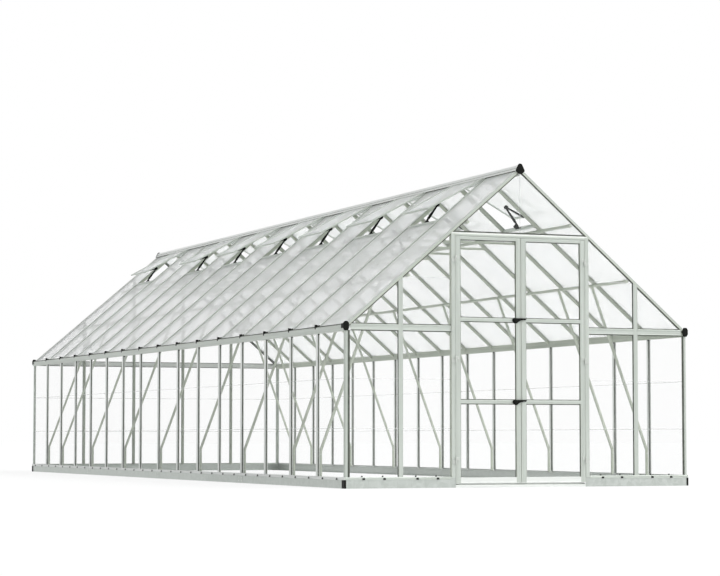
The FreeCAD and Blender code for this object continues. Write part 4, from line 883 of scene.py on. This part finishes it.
# latches: a lever with a boss over its spindle on the left leaf, a catch on the right one
latchSettings = {"rounding": 2.2, "pivot": -57 * mm, "levels": {"upper": 1337 * mm, "lower": 681 * mm},
                 "boss": (15, 11, 5, 20), "bossFront": 16.5 * mm, "keeperRounding": 2,
                 "grip": ((-23, 2), (-21, 10), (-14, 15.5), (-4, 16.9), (54, 16.9), (54, 0), (33, -8),
                          (21, -18), (12, -25), (-2, -25), (-12, -20), (-20, -10)), "gripFace": 13.2 * mm,
                 "gripDepth": 11.7 * mm, "catch": ((2.6, -1), (20, 4), (34, 2), (41, 5), (43, 16.8),
                                                   (2.6, 16.8)), "catchFace": 9.6 * mm,
                 "catchDepth": 9.2 * mm}
keepers = bmesh.new()
stamp(keepers, softened("latch_keepers", latchSettings["keeperRounding"]))
for word, level in latchSettings["levels"].items():
    target = bmesh.new()
    stamp(target, softened(f"{word}_latch_handle", latchSettings["rounding"]))
    spot = (latchSettings["pivot"], -doorFace - latchSettings["bossFront"], level)
    stamp(target, drum(*latchSettings["boss"]), [facing(-yAxis, spot)])
    lies = axes((latchSettings["pivot"], latchSettings["gripDepth"] - latchSettings["gripFace"] - doorFace,
                 level), xAxis, zAxis)
    stamp(target, bar(latchSettings["grip"], latchSettings["gripDepth"], latchSettings["rounding"], lies))
    lies = axes((0, latchSettings["catchDepth"] - latchSettings["catchFace"] - doorFace, level), xAxis, zAxis)
    stamp(keepers, bar(latchSettings["catch"], latchSettings["catchDepth"], latchSettings["rounding"], lies))
    finishPiece(target, f"{word}_latch_lever", [blackNylon], f"{word}_latch",
                [f"{word}_latch_handle"])
finishPiece(keepers, "latch_catches", [blackNylon], "right_door", ["latch_keepers"])
print("doors done")

# vents: flap frame, milky pane, black arm and stay. In the photograph the left flaps' arms stay above the
# flaps' lower edges and the right ones hang below them, so the two sides have their own arm outlines.

ventSettings = {
    "half": 295, "bar": 20, "deep": 7, "length": 560, "head": 8.3, "sheet": 2, "open": 12, "gap": 0.3,
    "count": 7, "nose": ((8, -5.6), (8, 5.6), (-3.5, 5.6), (-6.6, 4.2), (-7.9, 0), (-6.6, -4.2),
                         (-3.5, -5.6)), "elbowEnd": ((344, -36), (332, -38), (330, -43), (332, -48),
                                                     (344, -50)), "arm": {-1: (((539.7, -2.3), (518, -2.3)),
                                                                               ((528, -13), (539.4, -7))),
                                                                          1: (((539.7, -2.3), (515, -2.3),
                                                                               (501, -27)),
                                                                              ((522, -41), (539.4, -7)))},
    "armSides": (2, 10), "armRounding": 1.2, "foot": ((484, -24), (532, -0.8)), "footLow": {-1: -12, 1: -36},
    "footTop": -2.4, "footRounding": {-1: 3, 1: 6}, "elbow": (337, -43), "armHub": (19, 16, 9),
    "armHubSide": -10.5, "stayHub": (16, 12, 5), "stayHubSide": 11, "cheek": ((545, 14.5, -34), (584, 20, 4)),
    "cheekRounding": 2.4, "seat": ((581.5, -44, -25.5), (585.7, 26, -12)), "seatRounding": 1.6,
    "stayPin": (570, -4), "swell": ((0.3, 7), (0.6, 10.5), (0.78, 10.5), (0.84, 7)), "swellSides": (2.3, 9.7),
    "barRounding": 1.0, "slant": (3, 1), "groove": (2, 1.2), "paneRounding": 0.5, "lugRounding": 0.8,
}


def slopePlace(side, origin, pitch):
    turn = Matrix.Rotation(0 if side > 0 else math.pi, 4, "Z") @ Matrix.Rotation(pitch, 4, "Y")
    return Matrix.Translation(origin) @ turn


def flapPlace(side, number):
    hinge = joints[f"{sideWords[side]}_vent_{number}_hinge"]["pos_m"]
    return slopePlace(side, hinge, slope - math.radians(ventSettings["open"]))


def roofPlace(side, number):
    line = joints[f"{sideWords[side]}_vent_{number}_hinge"]["pos_m"][1]
    return slopePlace(side, (0, line, ridgeHeight), slope)


def makeFlap(side, number):
    look, word = ventSettings, sideWords[side]
    body, node = f"{word}_vent_{number}", f"{word}_vent_flap_{number}"
    place = flapPlace(side, number)
    half, wide, deep, long = look["half"], look["bar"], look["deep"], look["length"]
    lies = axes((0, half * mm, 0), xAxis, zAxis)
    metal = bmesh.new()
    stamp(metal, bar(look["nose"], 2 * half * mm, 0, lies), [place])
    back, rise = look["slant"]
    low = ((long - wide, -deep), (long, -deep), (long, rise), (long - back, deep), (long - wide, deep))
    stamp(metal, bar(low, 2 * half * mm, look["barRounding"], lies), [place])
    mouth, cut = look["groove"]
    upright = ((-wide / 2, -deep), (wide / 2, -deep), (wide / 2, deep), (mouth, deep), (0, deep - cut),
               (-mouth, deep), (-wide / 2, deep))
    for way in sides:
        runs = axes((look["head"] * mm, way * (half - wide / 2) * mm, 0), yAxis, zAxis)
        length = (long - wide - look["gap"] - look["head"]) * mm
        stamp(metal, bar(upright, length, look["barRounding"], runs), [place], 1)
    finishPiece(metal, f"{word}_flap_frame_{number}", [anodised["along"], anodised[f"{word}_slope"]],
                body, [node])
    pane = bmesh.new()
    inner = half - wide - look["gap"]
    low = Vector((look["head"], -inner, -look["sheet"]))
    high = Vector((long - wide - look["gap"], inner, look["sheet"]))
    stamp(pane, block(low * mm, high * mm, look["paneRounding"]), [place])
    finishPiece(pane, f"{word}_flap_pane_{number}", [milkySheet], body, [node])
    arm = bmesh.new()
    near, far = look["armSides"]
    upper, lower = look["arm"][side]
    lies = axes((0, -near * mm, 0), xAxis, zAxis)
    stamp(arm, bar(upper + look["elbowEnd"] + lower, (far - near) * mm, look["armRounding"], lies), [place])
    elbow = Vector((look["elbow"][0], 0, look["elbow"][1])) * mm
    stamp(arm, drum(*look["armHub"]), [place @ facing(-yAxis, elbow + yAxis * look["armHubSide"] * mm)])
    levels = (look["footLow"][side], look["footTop"])
    low, high = (Vector((*corner, level)) * mm for corner, level in zip(look["foot"], levels))
    stamp(arm, block(low, high, look["footRounding"][side]), [place])
    finishPiece(arm, f"{word}_vent_arm_{number}", [blackNylon], body, [node])
    stay = bmesh.new()
    stamp(stay, softened(f"{word}_vent_stay_{number}", look["armRounding"]))
    stamp(stay, drum(*look["stayHub"]), [place @ facing(yAxis, elbow + yAxis * look["stayHubSide"] * mm)])
    pin = Vector((look["stayPin"][0], 0, look["stayPin"][1])) * mm
    pin = place.inverted() @ roofPlace(side, number) @ pin
    run = pin - elbow
    run.y = 0
    edge = [(share * run.length / mm, high) for share, high in look["swell"]]
    section = [(along, -high) for along, high in edge] + edge[::-1]
    near, far = (depth * mm for depth in look["swellSides"])
    lies = axes(elbow + yAxis * far, run.normalized(), Vector((-run.z, 0, run.x)).normalized())
    stamp(stay, bar(section, far - near, look["armRounding"], lies), [place])
    finishPiece(stay, f"{word}_stay_link_{number}", [blackNylon], f"{word}_stay_{number}",
                [f"{word}_vent_stay_{number}"])


for side in sides:
    for number in range(1, ventSettings["count"] + 1):
        makeFlap(side, number)
lugs = bmesh.new()
stamp(lugs, softened("stay_brackets", ventSettings["lugRounding"]))
for side in sides:
    for number in range(1, ventSettings["count"] + 1):
        for word in ("cheek", "seat"):
            low, high = (Vector(corner) * mm for corner in ventSettings[word])
            stamp(lugs, block(low, high, ventSettings[f"{word}Rounding"]), [roofPlace(side, number)])
finishPiece(lugs, "stay_lugs", [blackNylon], stands=["stay_brackets"])
print("vents done")

# panes and panels keep their own solids
for node, material in (("wall_panes", clearSheet), ("gable_panes", clearSheet),
                       ("left_door_panes", clearSheet), ("right_door_panes", clearSheet),
                       ("roof_panels", milkySheet)):
    mesh = frame["nodes"][node].data
    mesh.materials.clear()
    mesh.materials.append(material)

# floor, light and camera

floorSettings = {"reach": 120.0, "drop": 1 * mm, "colour": "#F4F5F4", "glow": 0.85, "white": 1.01}
floor = bmesh.new()
bmesh.ops.create_grid(floor, x_segments=1, y_segments=1, size=floorSettings["reach"],
                      matrix=Matrix.Translation((0, 0, -floorSettings["drop"])))
mesh = bpy.data.meshes.new("studio_floor")
floor.to_mesh(mesh)
floor.free()
studioFloor = bpy.data.objects.new("studio_floor", mesh)
scene.collection.objects.link(studioFloor)


def seenDirectly(tree):
    path = addNode(tree, "LightPath")
    seen = addNode(tree, "Math", {0: path.outputs["Is Camera Ray"], 1: path.outputs["Is Glossy Ray"]},
                   operation="MAXIMUM")
    return addNode(tree, "Math", {0: seen.outputs["Value"], 1: path.outputs["Is Transmission Ray"]},
                   operation="MAXIMUM").outputs["Value"]


# the camera, gloss and clear sheets see near-white paper that keeps a faint shadow
paper = bpy.data.materials.new("matt_studio_paper")
paper.use_nodes = True
tree = paper.node_tree
tree.nodes.clear()
share = addNode(tree, "Math", {0: seenDirectly(tree), 1: floorSettings["glow"]}, operation="MULTIPLY")
matt = addNode(tree, "BsdfDiffuse", {"Color": linear(floorSettings["colour"])})
glow = addNode(tree, "Emission", {"Color": (1, 1, 1, 1), "Strength": floorSettings["white"]})
mixed = addNode(tree, "MixShader", {0: share.outputs["Value"], 1: matt.outputs["BSDF"],
                                    2: glow.outputs["Emission"]})
addNode(tree, "OutputMaterial", {"Surface": mixed.outputs["Shader"]})
studioFloor.data.materials.append(paper)

# the key light stands high on the right in front, a weak fill low on the left
lightSettings = {
    "ambient": 0.38, "ambientColour": "#FAFCFF",
    "lamps": (("key_light", 3.1, (1.0, -0.62, 1.3), 40), ("fill_light", 0.35, (-1.0, -0.6, 0.5), 70)),
}
world = bpy.data.worlds.new("studio")
scene.world = world
world.use_nodes = True
tree = world.node_tree
tree.nodes.clear()
ambient = addNode(tree, "Background", {"Color": linear(lightSettings["ambientColour"]),
                                       "Strength": lightSettings["ambient"]})
white = addNode(tree, "Background", {"Color": (1, 1, 1, 1), "Strength": 1.0})
mixed = addNode(tree, "MixShader", {0: seenDirectly(tree), 1: ambient.outputs["Background"],
                                    2: white.outputs["Background"]})
addNode(tree, "OutputWorld", {"Surface": mixed.outputs["Shader"]})
for name, strength, source, spread in lightSettings["lamps"]:
    lamp = bpy.data.lights.new(name, "SUN")
    lamp.energy, lamp.angle = strength, math.radians(spread)
    holder = bpy.data.objects.new(name, lamp)
    holder.rotation_euler = Vector(source).to_track_quat("Z", "Y").to_euler()
    scene.collection.objects.link(holder)
scene.view_settings.view_transform = "Standard"

# the long lens and low place were solved from the corners of the building in a 720 x 576 picture
cameraSettings = {"lens": 115.33, "sensor": 36.0, "place": (-8.239, -21.558, 0.3996), "rise": 0.06457,
                  "turn": -0.38923, "reach": 300}
lens = bpy.data.cameras.new("view")
lens.lens, lens.sensor_width, lens.sensor_fit = cameraSettings["lens"], cameraSettings["sensor"], "HORIZONTAL"
lens.clip_end = cameraSettings["reach"]
camera = bpy.data.objects.new("view", lens)
camera.location = cameraSettings["place"]
camera.rotation_euler = (math.pi / 2 + cameraSettings["rise"], 0, cameraSettings["turn"])
scene.collection.objects.link(camera)
scene.camera = camera
print("floor, light and camera done")
